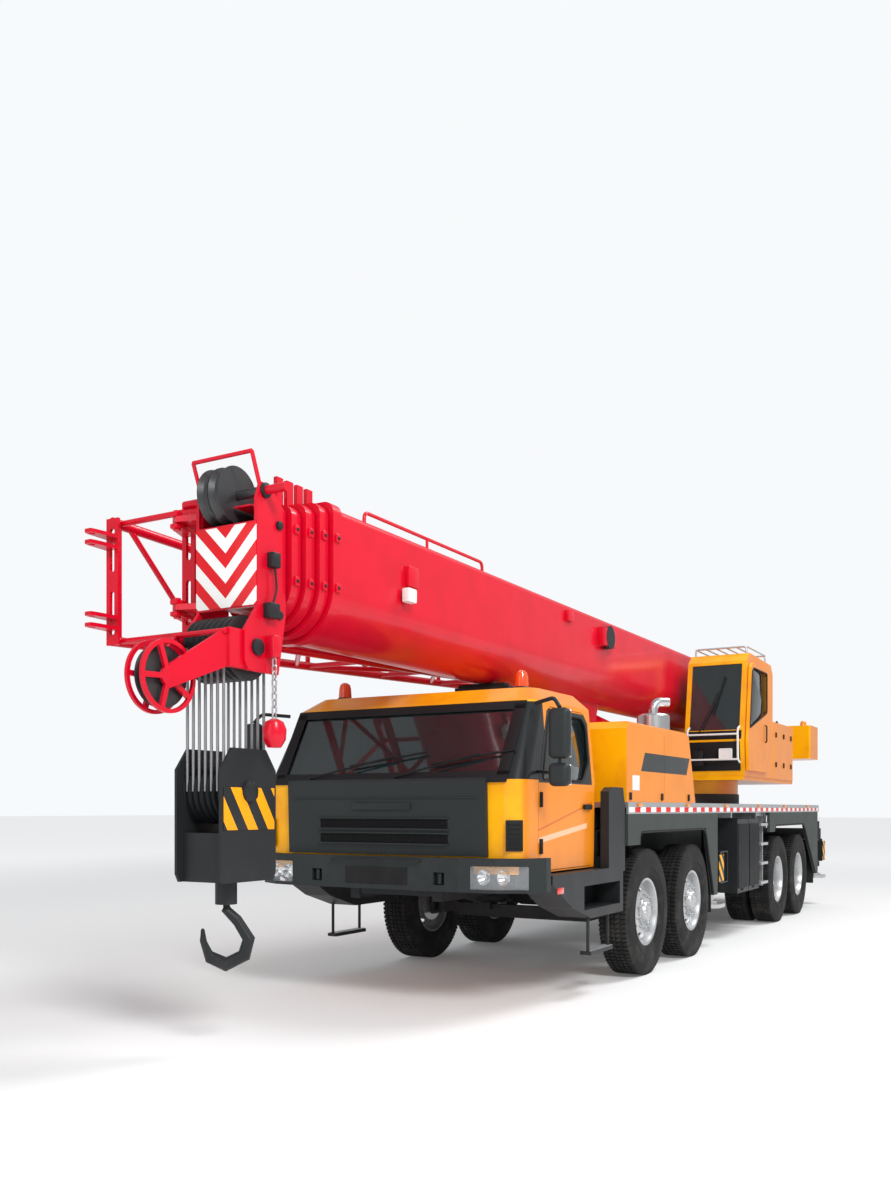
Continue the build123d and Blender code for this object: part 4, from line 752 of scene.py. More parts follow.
@dataclass
class Wheel:
    """One wheel: treaded tyres and pressed rims with hub and nuts."""

    node: str
    centre: Vector
    side: Side
    radius: float = 0.61
    lug_height: float = 0.014
    lug_count: int = 84
    bead: float = 0.316
    hand_holes: int = 10

    def tyre(self) -> list[bpy.types.Object]:
        """The carcass and its tread, about X = 0."""
        base = self.radius - self.lug_height
        half = [(0.108, self.bead), (0.128, 0.33), (0.149, 0.385), (0.1545, 0.45), (0.149, 0.52),
                (0.139, 0.572),
                (0.128, base - 0.004), (0.11, base)]
        profile = half + [(-along, radius) for along, radius in reversed(half)] + [half[0]]
        carcass = Bench.spun(profile, (0, 0, 0), steps=72)
        rings = []
        for along, radius in ((0.1535, 0.42), (0.1425, 0.545)):
            rim = Bench.spun([(along - 0.004, radius - 0.004), (along + 0.0022, radius),
                              (along - 0.004, radius + 0.004)], (0, 0, 0), steps=72)
            rings += [rim, Bench.copied(rim, Matrix.Scale(-1, 4, (1, 0, 0)))]
        shoulder = Bench.block((0.082, -0.0165, base - 0.02), (0.133, 0.0165, self.radius), 0.004)
        middle = Bench.block((0.024, -0.0145, base - 0.01), (0.07, 0.0145, self.radius), 0.003)
        slant = Matrix.Rotation(math.radians(22), 4, "Z")
        middle.data.transform(Matrix.Translation((0.047, 0, 0)) @ slant @ Matrix.Translation((-0.047, 0, 0)))
        centre = Bench.block((-0.014, -0.0165, base - 0.01), (0.014, 0.0165, self.radius), 0.003)
        lugs = [shoulder, middle, centre, Bench.copied(shoulder, Matrix.Scale(-1, 4, (1, 0, 0))),
                Bench.copied(middle, Matrix.Rotation(math.pi, 4, "Z"))]
        return [carcass] + rings + Bench.ring(Bench.merge(lugs), self.lug_count, (0, 0, 0))

    def rim(self, disc_at: float, hub_at: float, hub_reach: float) -> list[bpy.types.Object]:
        """The rim with hand holes, hub and nuts, about X = 0, its outside towards +X.

        Args:
            disc_at: X at which the disc meets the barrel.
            hub_at: X of the disc's flat middle.
            hub_reach: X of the hub's end.

        Returns:
            Its pieces.
        """
        barrel = Bench.spun([(-0.12, 0.34), (-0.105, 0.34), (-0.1, 0.313), (0.1, 0.313), (0.105, 0.34),
                             (0.12, 0.341),
                             (0.125, 0.332), (0.118, 0.305), (0.1, 0.299), (0.06, 0.287), (-0.06, 0.287),
                             (-0.1, 0.299), (-0.12, 0.32), (-0.12, 0.34)], (0, 0, 0), steps=72)
        lean = hub_at - disc_at
        radii = [0.287, 0.268, 0.252, 0.232, 0.212, 0.196, 0.12]
        places = [0.0, 0.1, 0.25, 0.6, 0.88, 1.0, 1.0]
        disc = Bench.spun([(disc_at + lean * share, radius) for share, radius in zip(places, radii)],
                          (0, 0, 0),
                          steps=60)
        Bench.pick(disc)
        bpy.ops.object.mode_set(mode="EDIT")
        bpy.ops.mesh.select_mode(type="FACE")
        bpy.ops.mesh.select_all(action="DESELECT")
        bpy.ops.object.mode_set(mode="OBJECT")
        for polygon in disc.data.polygons:
            middle = polygon.center
            radius = math.hypot(middle.y, middle.z)
            turn = math.degrees(math.atan2(middle.y, middle.z)) % (360 / self.hand_holes)
            polygon.select = 0.212 < radius < 0.252 and 11 < turn < 25
        bpy.ops.object.mode_set(mode="EDIT")
        bpy.ops.mesh.delete(type="FACE")
        bpy.ops.object.mode_set(mode="OBJECT")
        Bench.modify(disc, "SOLIDIFY", thickness=0.011, offset=0.0)
        Bench.modify(disc, "SUBSURF", levels=1, render_levels=1)
        Bench.round_edges(disc, 0.0)
        hub = Bench.spun([(hub_at - 0.01, 0.125), (hub_at + 0.012, 0.125), (hub_at + 0.02, 0.118),
                          (hub_reach - 0.05, 0.104),
                          (hub_reach - 0.03, 0.1), (hub_reach - 0.012, 0.088), (hub_reach - 0.008, 0.06),
                          (hub_reach, 0.052), (hub_reach, 0.0)], (0, 0, 0), steps=40)
        nut = Bench.rod((hub_at, 0, 0.165), (hub_at + 0.03, 0, 0.165), 0.0165, 6, 0.002)
        tip = Bench.rod((hub_at + 0.028, 0, 0.165), (hub_at + 0.044, 0, 0.165), 0.0095, 10, 0.001)
        cap_bolt = Bench.rod((hub_reach - 0.03, 0, 0.094), (hub_reach - 0.004, 0, 0.08), 0.007, 6, 0.001)
        return ([barrel, disc, hub] + Bench.ring(nut, 10, (0, 0, 0)) + Bench.ring(tip, 10, (0, 0, 0))
                + Bench.ring(cap_bolt, 8, (0, 0, 0)))

    def build(self, tyre: bpy.types.Object, rim: bpy.types.Object) -> None:
        """Places copies of the finished tyre and rim on this wheel's axle."""
        across = Matrix.Scale(self.side.value, 4, (1, 0, 0))
        there = Matrix.Translation(self.centre)
        copy = Bench.copied(tyre, there @ across)
        tyre_piece = Bench.join(f"tyre_on_{self.node}", [copy], PAINT.rubber, self.node, "tyre")
        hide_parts(self.node)
        rims = Bench.copied(rim, there @ across)
        Bench.join(f"rim_on_{self.node}", [rims], PAINT.silver, self.node, "bare_steel")


@dataclass
class RunningGear:
    """All eight wheels."""

    spacing: float = 0.35
    half_width: float = 0.155

    def build(self) -> None:
        """Models one steered and one twin wheel and places their copies."""
        maker = Wheel("model", Vector((0, 0, 0)), Side.LEFT)
        for twin in (False, True):
            tyre = Bench.merge(maker.tyre())
            if twin:
                tyre = Bench.merge([tyre, Bench.copied(tyre, Matrix.Translation((-self.spacing, 0, 0)))])
                outer = Bench.merge(maker.rim(-0.07, -0.165, -0.02))
                inner = Bench.spun([(-0.12, 0.34), (-0.1, 0.313), (0.1, 0.313), (0.12, 0.34), (0.118, 0.305),
                                    (-0.118, 0.305), (-0.12, 0.34)], (-self.spacing, 0, 0), steps=48)
                drum = Bench.spun([(-0.21, 0.0), (-0.21, 0.204), (-0.4, 0.204), (-0.41, 0.19), (-0.41, 0.0)],
                                  (0, 0, 0))
                rim = Bench.merge([outer, inner, drum])
            else:
                drum = Bench.spun([(0.03, 0.0), (0.03, 0.2), (-0.1, 0.205), (-0.1, 0.19), (-0.1, 0.0)],
                                  (0, 0, 0))
                rim = Bench.merge(maker.rim(0.04, 0.086, 0.152) + [drum])
            for axle in ((3, 4) if twin else (1, 2)):
                for side in Side:
                    node = f"wheel_{axle}_{side.word}"
                    low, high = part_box(node)
                    outer_x = high.x if side is Side.LEFT else low.x
                    centre = (low + high) / 2
                    centre.x = outer_x - side.value * self.half_width
                    Wheel(node, centre, side).build(tyre, rim)
            for left_over in (tyre, rim):
                bpy.data.objects.remove(left_over)


@dataclass
class CarrierCabFront:
    """Everything on the front of the carrier's cab."""

    sill_z: float = 1.83
    roof_z: float = 2.48
    sill_y: float = station(-2.625)
    roof_y: float = station(-2.26)
    screen_half: float = 1.08

    def on_screen(self, x: float, z: float, out: float = 0.0) -> Vector:
        """A point of the leaning front plane, moved outwards by an amount."""
        share = (z - self.sill_z) / (self.roof_z - self.sill_z)
        place = Vector((x, self.sill_y + (self.roof_y - self.sill_y) * share, z))
        lean = Vector((0, -(self.roof_z - self.sill_z), self.roof_y - self.sill_y)).normalized()
        return place + lean * out

    def build(self) -> None:
        """Models the fittings."""
        self.screen_border()
        self.wipers()
        self.grilles()
        self.corner_louvres()
        self.lamps()
        self.roof()

    def patch(self, x: tuple[float, float], z: tuple[float, float], thickness: float) -> bpy.types.Object:
        """A panel on the leaning front."""
        return Bench.slab([self.on_screen(x[0], z[0], 0.001), self.on_screen(x[1], z[0], 0.001),
                           self.on_screen(x[1], z[1], 0.001), self.on_screen(x[0], z[1], 0.001)], thickness)

    def screen_border(self) -> None:
        """The black band and seal round the windscreen."""
        half, low, high = self.screen_half, 1.865, 2.45
        bands = [self.patch((-half - 0.05, half + 0.05), (low - 0.055, low + 0.035), 0.006),
                 self.patch((-half - 0.05, half + 0.05), (high - 0.05, high + 0.02), 0.006),
                 self.patch((-half - 0.05, -half + 0.05), (low, high), 0.006),
                 self.patch((half - 0.05, half + 0.05), (low, high), 0.006)]
        Bench.join("windscreen_border", bands, PAINT.seal, "carrier", "dark_plastic")

    def wipers(self) -> None:
        """Two wipers with arms and blades."""
        pieces = []
        for pivot, tip in ((-0.75, 0.05), (0.1, 0.85)):
            root = self.on_screen(pivot, 1.85, 0.03)
            reach = self.on_screen(tip, 2.02, 0.035)
            pieces += [Bench.rod(root, reach, 0.008, 8),
                       Bench.rod(self.on_screen(pivot, 1.85, 0.0), root, 0.02, 12)]
            pieces.append(Bench.rod(self.on_screen(tip - 0.42, 1.955, 0.018),
                                    self.on_screen(tip + 0.3, 2.06, 0.018), 0.009, 8))
        Bench.join("windscreen_wipers", pieces, PAINT.seal, "carrier", "dark_plastic")

    def grilles(self) -> None:
        """Mesh in the two grille slots, and their lips and panel joints."""
        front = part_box("front_mask")[0].y
        bars = []
        for low in (1.33, 1.45):
            bars += Bench.row(Bench.block((-0.62, front + 0.012, low + 0.005),
                                          (0.62, front + 0.02, low + 0.009), 0.001), 6, (0, 0, 0.0125))
            bars += Bench.row(Bench.block((-0.62, front + 0.012, low), (-0.616, front + 0.02, low + 0.075),
                                          0.0), 78, (0.016, 0, 0))
        Bench.join("grille_mesh", bars, PAINT.mesh, "carrier", "dark_plastic")
        lips = []
        for low in (1.33, 1.45):
            lips += [Bench.block((-0.63, front - 0.006, low - 0.012), (0.63, front + 0.004, low), 0.002),
                     Bench.block((-0.63, front - 0.006, low + 0.075), (0.63, front + 0.004, low + 0.087),
                                 0.002)]
        lips += [Bench.block((-0.9, front - 0.004, 1.69), (0.9, front + 0.004, 1.70), 0.002),
                 Bench.block((-0.28, front - 0.012, 1.60), (0.28, front + 0.004, 1.655), 0.004, 0.008,
                             (0, -1, 0), 0.004)]
        Bench.join("grille_lips", lips, PAINT.plastic, "carrier", "dark_plastic")

    def corner_louvres(self) -> None:
        """A dark slotted panel on each front corner."""
        inner, outer = Vector((1.12, station(-2.632), 0.0)), Vector((1.228, station(-2.55), 0.0))
        louvres = [Bench.slab([(inner.x, inner.y, 1.28), (outer.x, outer.y, 1.28), (outer.x, outer.y, 1.52),
                               (inner.x, inner.y, 1.52)], 0.01, 0.004)]
        inner_slot, outer_slot = inner.lerp(outer, 0.14), inner.lerp(outer, 0.86)
        reach = Vector((0.6, -0.8, 0.0)) * 0.012
        for index in range(6):
            lift = Vector((0, 0, 1.31 + index * 0.036))
            louvres.append(Bench.rod(inner_slot + reach + lift, outer_slot + reach + lift, 0.0075, 10))
        Bench.join("corner_louvres", Bench.both(louvres), PAINT.seal, "carrier", "dark_plastic")

    def lamps(self) -> None:
        """Reflectors behind the headlamp lenses, the bumper's blank plate recess, its rail and tow pins."""
        pieces = []
        for x, y, radius in ((0.95, station(-2.655), 0.062), (1.1, station(-2.61), 0.062),
                             (1.23, station(-2.53), 0.05)):
            pieces.append(Bench.spun([(-0.012, radius), (0.0, radius * 0.9), (0.03, radius * 0.45),
                                      (0.036, 0.0)], (x, y, 1.075), (0.15, 1, 0), 24))
        Bench.join("headlamp_reflectors", Bench.both(pieces), PAINT.reflector, "carrier", "chrome")
        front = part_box("bumper")[0].y
        plate = [Bench.block((-0.3, front - 0.006, 1.0), (0.3, front + 0.004, 1.14), 0.004, 0.012, (0, -1, 0),
                             0.004)]
        Bench.join("bumper_plate_recess", plate, PAINT.seal, "carrier", "dark_plastic")
        rails = [Bench.pipe([(-0.42, front - 0.004, 1.19), (-0.42, front - 0.03, 1.2),
                             (0.42, front - 0.03, 1.2),
                             (0.42, front - 0.004, 1.19)], 0.008, 0.02)]
        for x in (0.59, -0.59):
            rails += [Bench.rod((x, front + 0.02, 1.02), (x, front + 0.02, 1.1), 0.018, 16, 0.002)]
        Bench.join("tow_pins", rails, PAINT.black, "carrier", "black_paint")

    def roof(self) -> None:
        """Two beacons on their feet."""
        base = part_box("carrier_cab")[1].z
        feet, domes = [], []
        for x in (0.9, -0.9):
            y = station(-1.9)
            feet.append(Bench.spun([(0.0, 0.0), (0.0, 0.075), (0.02, 0.075), (0.03, 0.062), (0.03, 0.0)],
                                   (x, y, base - 0.004), (0, 0, 1), 28))
            domes.append(Bench.spun([(0.0, 0.0), (0.0, 0.06), (0.085, 0.055), (0.12, 0.045), (0.138, 0.022),
                                     (0.142, 0.0)],
                                    (x, y, base + 0.026), (0, 0, 1), 28))
        Bench.join("beacon_feet", feet, PAINT.black, "carrier", "black_paint")
        Bench.join("beacon_domes", domes, LENS.beacon, "carrier", "glass")


@dataclass
class CarrierDoors:
    """Glass, seals, handles and hinge pins on the carrier's doors."""

    skin_x: float = 1.252
    sill_z: float = 1.83
    window_rise: float = 0.65
    window_lean: float = 0.055

    def build(self) -> None:
        """Models both doors' fittings."""
        for side in Side:
            body = f"cab_door_{side.word}"
            sign = side.value

            def at(s: float, z: float, proud: float = 0.0) -> tuple[float, float, float]:
                """A point on the door's skin, moved outwards by an amount."""
                lean = max(0.0, z - self.sill_z) / self.window_rise * self.window_lean
                return (sign * (self.skin_x + proud - lean), station(s), z)

            outline = [(-2.215, 1.85), (-1.43, 1.85), (-1.27, 2.015), (-1.27, 2.305), (-1.345, 2.38),
                       (-1.955, 2.38), (-2.025, 2.34)]
            border = [(-2.235, 1.838), (-1.42, 1.838), (-1.258, 2.008), (-1.258, 2.312), (-1.338, 2.392),
                      (-1.962, 2.392), (-2.034, 2.352)]
            points = [at(s, z, -0.022) for s, z in outline]
            if side is Side.RIGHT:
                points.reverse()
            Bench.join(f"door_glass_{side.word}", [Bench.slab(points, 0.006)], LENS.pane, body, "glass")
            seal = Bench.pipe([at(s, z, -0.006) for s, z in border], 0.011, 0.04, True)
            handle = [Bench.block(at(-1.42, 1.60), at(-1.25, 1.645, 0.02), 0.006),
                      Bench.rod(at(-2.27, 1.25, -0.002), at(-2.27, 1.37, -0.002), 0.018, 14, 0.003),
                      Bench.rod(at(-2.27, 1.62, -0.002), at(-2.27, 1.74, -0.002), 0.018, 14, 0.003)]
            Bench.join(f"door_seal_{side.word}", [seal] + handle, PAINT.seal, body, "dark_plastic")


@dataclass
class MirrorGlass:
    """The mirrors: faces turned to the rear, rounded shells and bent arms."""

    def build(self) -> None:
        """Models the glass, the shells and the arms."""
        panes, rims, arms = [], [], []
        y = station(-2.415)
        for side in Side:
            x = side.value * 1.5
            for z_low, z_high in ((2.0, 2.365), (1.79, 1.945)):
                panes.append(Bench.block((x - 0.07, y, z_low), (x + 0.07, y + 0.003, z_high), 0.001))
                shell = Bench.block((x - 0.085, y - 0.108, z_low - 0.012),
                                    (x + 0.085, y - 0.002, z_high + 0.012), 0.0)
                rims.append(Bench.round_edges(shell, 0.045, 6))
            arms += [Bench.pipe([(side.value * 1.22, station(-2.3), 2.44),
                                 (side.value * 1.44, station(-2.44), 2.46),
                                 (side.value * 1.5, station(-2.47), 2.38)], 0.016, 0.06),
                     Bench.pipe([(side.value * 1.25, station(-2.3), 1.9),
                                 (side.value * 1.44, station(-2.45), 1.88),
                                 (side.value * 1.5, station(-2.47), 1.95),
                                 (side.value * 1.5, station(-2.47), 2.02)], 0.014, 0.05)]
        Bench.join("mirror_faces", panes, PAINT.reflector, "carrier", "glass")
        shells = Bench.join("mirror_shells", rims + arms, PAINT.plastic, "carrier", "dark_plastic")
        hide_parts("mirrors")


@dataclass
class HoodAndDeck:
    """Fittings of the engine hood, the deck's edge and the skirts."""

    edge_x: float = 1.375
    beam_end_x: float = 1.363

    def build(self) -> None:
        """Models the fittings."""
        self.hood()
        self.deck_edge()
        self.skirts()
        self.steps()

    def hood(self) -> None:
        """Latches, panel joints, roof ribs and blank plates of the hood."""
        low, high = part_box("engine_hood")
        dark = []
        for sign in (1, -1):
            x = sign * high.x
            for s in (-0.58, 0.32, 1.2):
                dark.append(Bench.block((x, station(s), 1.69), (x + sign * 0.012, station(s + 0.05), 1.76),
                                        0.004))
            dark.append(Bench.rod((x - sign * 0.002, station(0.42), 1.70),
                                  (x - sign * 0.002, station(0.42), 2.33), 0.003, 6))
        dark += Bench.row(Bench.block((-0.9, station(-0.3), high.z), (0.9, station(-0.28), high.z + 0.012),
                                      0.004), 8, (0, 0.06, 0))
        Bench.join("hood_vents", dark, PAINT.seal, "carrier", "dark_plastic")
        plates = [Bench.block((high.x, station(-0.5), 1.78), (high.x + 0.004, station(-0.31), 1.92), 0.001)]
        Bench.join("hood_blank_plates", Bench.both(plates), PAINT.white, "carrier", "orange_paint")

    def deck_edge(self) -> None:
        """Tape and amber markers along the deck's edge."""
        pieces, markers = [], []
        x = self.edge_x
        pieces.append(Bench.block((x, station(-0.62), 1.575), (x + 0.003, station(8.25), 1.622), 0.001))
        for s in (-0.4, 1.1, 2.6, 4.2, 5.7, 7.3):
            markers.append(Bench.block((x + 0.002, station(s), 1.628), (x + 0.02, station(s + 0.11), 1.662),
                                       0.006))
        Bench.join("deck_edge_tape", Bench.both(pieces), PAINT.tape, "carrier", "deck_plate")
        Bench.join("side_markers", Bench.both(markers), LENS.amber, "carrier", "glass")

    def skirts(self) -> None:
        """Rubber lips of the wheel arches and the mud flaps."""
        x = self.edge_x - 0.012
        lips = [Bench.pipe([(x, station(-0.32), 1.28), (x, station(-0.3), 1.39), (x, station(1.83), 1.39),
                            (x, station(2.15), 0.64)], 0.016, 0.12),
                Bench.pipe([(x, station(5.17), 1.3), (x, station(5.24), 1.38), (x, station(7.13), 1.38),
                            (x, station(8.05), 0.58)], 0.016, 0.12)]
        flaps = [Bench.block((0.98, station(2.17), 0.42), (1.33, station(2.19), 0.95), 0.004),
                 Bench.block((0.72, station(8.06), 0.4), (1.33, station(8.08), 0.95), 0.004)]
        Bench.join("arch_lips", Bench.both(lips + flaps), PAINT.seal, "carrier", "dark_plastic")

    def steps(self) -> None:
        """Ribs on the side lockers, treads and labels on the steps, hazard plates on the beams."""
        ribs = []
        low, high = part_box("side_lockers")
        for start in (3.27, 3.82):
            ribs += Bench.row(Bench.block((high.x - 0.002, station(start + 0.03), 0.62),
                                          (high.x + 0.012, station(start + 0.05), 1.42), 0.004), 12,
                                          (0, 0.041, 0))
            ribs.append(Bench.block((high.x, station(start + 0.2), 0.585),
                                    (high.x + 0.015, station(start + 0.33), 0.61), 0.004))
        Bench.join("locker_ribs", Bench.both(ribs), PAINT.black, "carrier", "black_paint")
        treads = Bench.row(Bench.block((1.275, station(-1.5), 0.4), (1.365, station(-1.485), 0.406), 0.001),
                           15, (0, 0.033, 0))
        Bench.join("step_treads", Bench.both(treads), PAINT.silver, "carrier", "deck_plate")
        label = Bench.block((1.358, station(-2.2), 0.93), (1.364, station(-2.08), 0.98), 0.001)
        Bench.join("step_side_labels", Bench.both([label]), LENS.red, "carrier", "glass")
        for place, s in (("front_left", 2.4965), ("front_right", 2.8135), ("rear_left", 8.7885),
                         ("rear_right", 8.4715)):
            sign = 1 if place.endswith("left") else -1
            x = sign * self.beam_end_x
            piece = Bench.block((x, station(s) - 0.1, 0.76), (x + sign * 0.004, station(s) + 0.1, 1.07),
                                0.001)
            Bench.join(f"hazard_plate_{place}", [piece], PAINT.hazard_side, f"outrigger_beam_{place}",
                       "black_paint")


@dataclass
class OperatorCabTrim:
    """Guard frame, wiper, lamp, roof rack, seals and door glass of the operator's cab."""

    front_line: tuple[tuple[float, float], ...] = ((2.03, 3.73), (2.48, 3.65), (3.52, 3.83))
    guard_gap: float = 0.09
    guard_inset: float = 0.06
    rack_inset: float = 0.05
    rack_rise: float = 0.09

    def front_y(self, z: float, out: float = 0.0) -> float:
        """Y of the cab's front at a height."""
        for (low_z, low_s), (high_z, high_s) in zip(self.front_line, self.front_line[1:]):
            if z < high_z:
                break
        return station(low_s + (high_s - low_s) * (z - low_z) / (high_z - low_z)) - out

    def build(self) -> None:
        """Models the fittings."""
        low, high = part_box("operator_cab")
        self.guard(low.x + self.guard_inset, high.x - self.guard_inset)
        self.front(low.x, high.x)
        self.rack(low.x + self.rack_inset, high.x - self.rack_inset, high.z)
        self.door()
        self.upper_fittings()

    def guard(self, left: float, right: float) -> None:
        """The low guard frame before the windscreen, between two X."""
        tubes = []
        for x in (left, right):
            corners = ((2.2, 0.0), (2.24, self.guard_gap), (2.62, self.guard_gap), (2.66, 0.0))
            tubes.append(Bench.pipe([(x, self.front_y(z, out), z) for z, out in corners], 0.014, 0.04))
        for z in (2.24, 2.56):
            y = self.front_y(z, self.guard_gap)
            tubes.append(Bench.rod((left, y, z), (right, y, z), 0.012, 12))
        Bench.join("operator_guard_frame", tubes, PAINT.white, "upper", "bare_steel")

    def front(self, left: float, right: float) -> None:
        """The dark panels under the windscreen, the wiper, the washer's bottle and the work lamp."""
        pieces = []
        for inset, low, high, thickness in ((0.05, 2.1, 2.47, 0.012), (0.03, 2.5, 2.61, 0.006)):
            pieces.append(Bench.slab([(x, self.front_y(z, 0.002), z)
                                      for x, z in ((left + inset, low), (right - inset, low),
                                                   (right - inset, high),
                                                   (left + inset, high))], thickness))
        for (low_x, low_z), (high_x, high_z), out in (((0.2, 2.6), (0.42, 3.1), 0.03),
                                                      ((0.36, 2.82), (0.5, 3.32), 0.018)):
            pieces.append(Bench.rod((left + low_x, self.front_y(low_z, out), low_z),
                                    (left + high_x, self.front_y(high_z, out), high_z), 0.008, 8))
        pieces.append(Bench.block((left + 0.12, self.front_y(2.2, 0.1), 2.16),
                                  (left + 0.26, self.front_y(2.2, 0.01), 2.36), 0.02))
        Bench.join("operator_front_panel", pieces, PAINT.seal, "upper", "dark_plastic")
        lamp = Bench.block((right - 0.3, self.front_y(2.3, 0.1), 2.24),
                           (right - 0.14, self.front_y(2.3, 0.02), 2.38), 0.012, 0.014, (0, -1, 0), 0.01)
        Bench.join("operator_work_lamp", [lamp], PAINT.white, "upper", "bare_steel")

    def rack(self, left: float, right: float, roof: float) -> None:
        """The roof rack: two bent hoops with bars between them."""
        top, front, back = roof + self.rack_rise, station(4.0), station(5.0)
        bars = [Bench.pipe([(left, y, foot), (left, y, top), (right, y, top), (right, y, foot)], 0.012, 0.04)
                for y, foot in ((front, roof - 0.01), (back, roof - 0.04))]
        bars += [Bench.rod((left + share * (right - left), front, top),
                           (left + share * (right - left), back, top),
                           0.01, 10) for share in (0.0, 0.2, 0.4, 0.6, 0.8, 1.0)]
        Bench.join("operator_roof_rack", bars, PAINT.silver, "upper", "bare_steel")

    def door(self) -> None:
        """Glass, seal and handle of the sliding door."""
        low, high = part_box("operator_door")
        x = high.x - 0.014
        outline = [(3.795, 2.645), (4.715, 2.905), (4.715, 3.435), (3.99, 3.435), (3.915, 3.385)]
        glass = Bench.slab([(x - 0.006, station(s), z) for s, z in outline], 0.006)
        Bench.join("operator_door_glass", [glass], LENS.pane, "operator_door", "glass")
        seal = Bench.pipe([(high.x, station(s), z) for s, z in outline], 0.009, 0.04, True)
        grip = Bench.pipe([(high.x, station(4.62), 2.5), (high.x + 0.02, station(4.62), 2.51),
                           (high.x + 0.02, station(4.62), 2.72), (high.x, station(4.62), 2.73)], 0.009, 0.02)
        Bench.join("operator_door_seal", [seal, grip], PAINT.seal, "operator_door", "dark_plastic")

    def upper_fittings(self) -> None:
        """Latches on the housings, the counterweight's beacon and lifting ring."""
        low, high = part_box("upper_housing")
        latches = [Bench.block((high.x, station(s), z), (high.x + 0.014, station(s + 0.05), z + 0.07), 0.004)
                   for s in (5.42, 5.9, 6.38) for z in (2.2, 2.62)]
        Bench.join("housing_latches", latches, PAINT.seal, "upper", "dark_plastic")
        base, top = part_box("counterweight")
        domes = [Bench.spun([(0.0, 0.0), (0.0, 0.055), (0.08, 0.05), (0.11, 0.03), (0.116, 0.0)],
                            (1.1, top.y - 0.3, top.z - 0.002), (0, 0, 1), 28)]
        Bench.join("counterweight_beacon", domes, LENS.amber, "upper", "glass")
        front, back, foot, peak = top.y - 0.4, top.y - 0.5, top.z - 0.01, top.z + 0.1
        rings = [Bench.pipe([(x, front, foot), (x, front, peak), (x, back, peak), (x, back, foot)], 0.014,
                            0.05)
                 for x in (0.7, -0.7)]
        Bench.join("counterweight_rings", rings, PAINT.black, "upper", "black_paint")
        band = [Bench.block((-1.1136, top.y, base.z + 0.08), (1.1136, top.y + 0.004, base.z + 0.3), 0.001)]
        Bench.join("counterweight_bands", band, PAINT.hazard, "upper", "orange_paint")


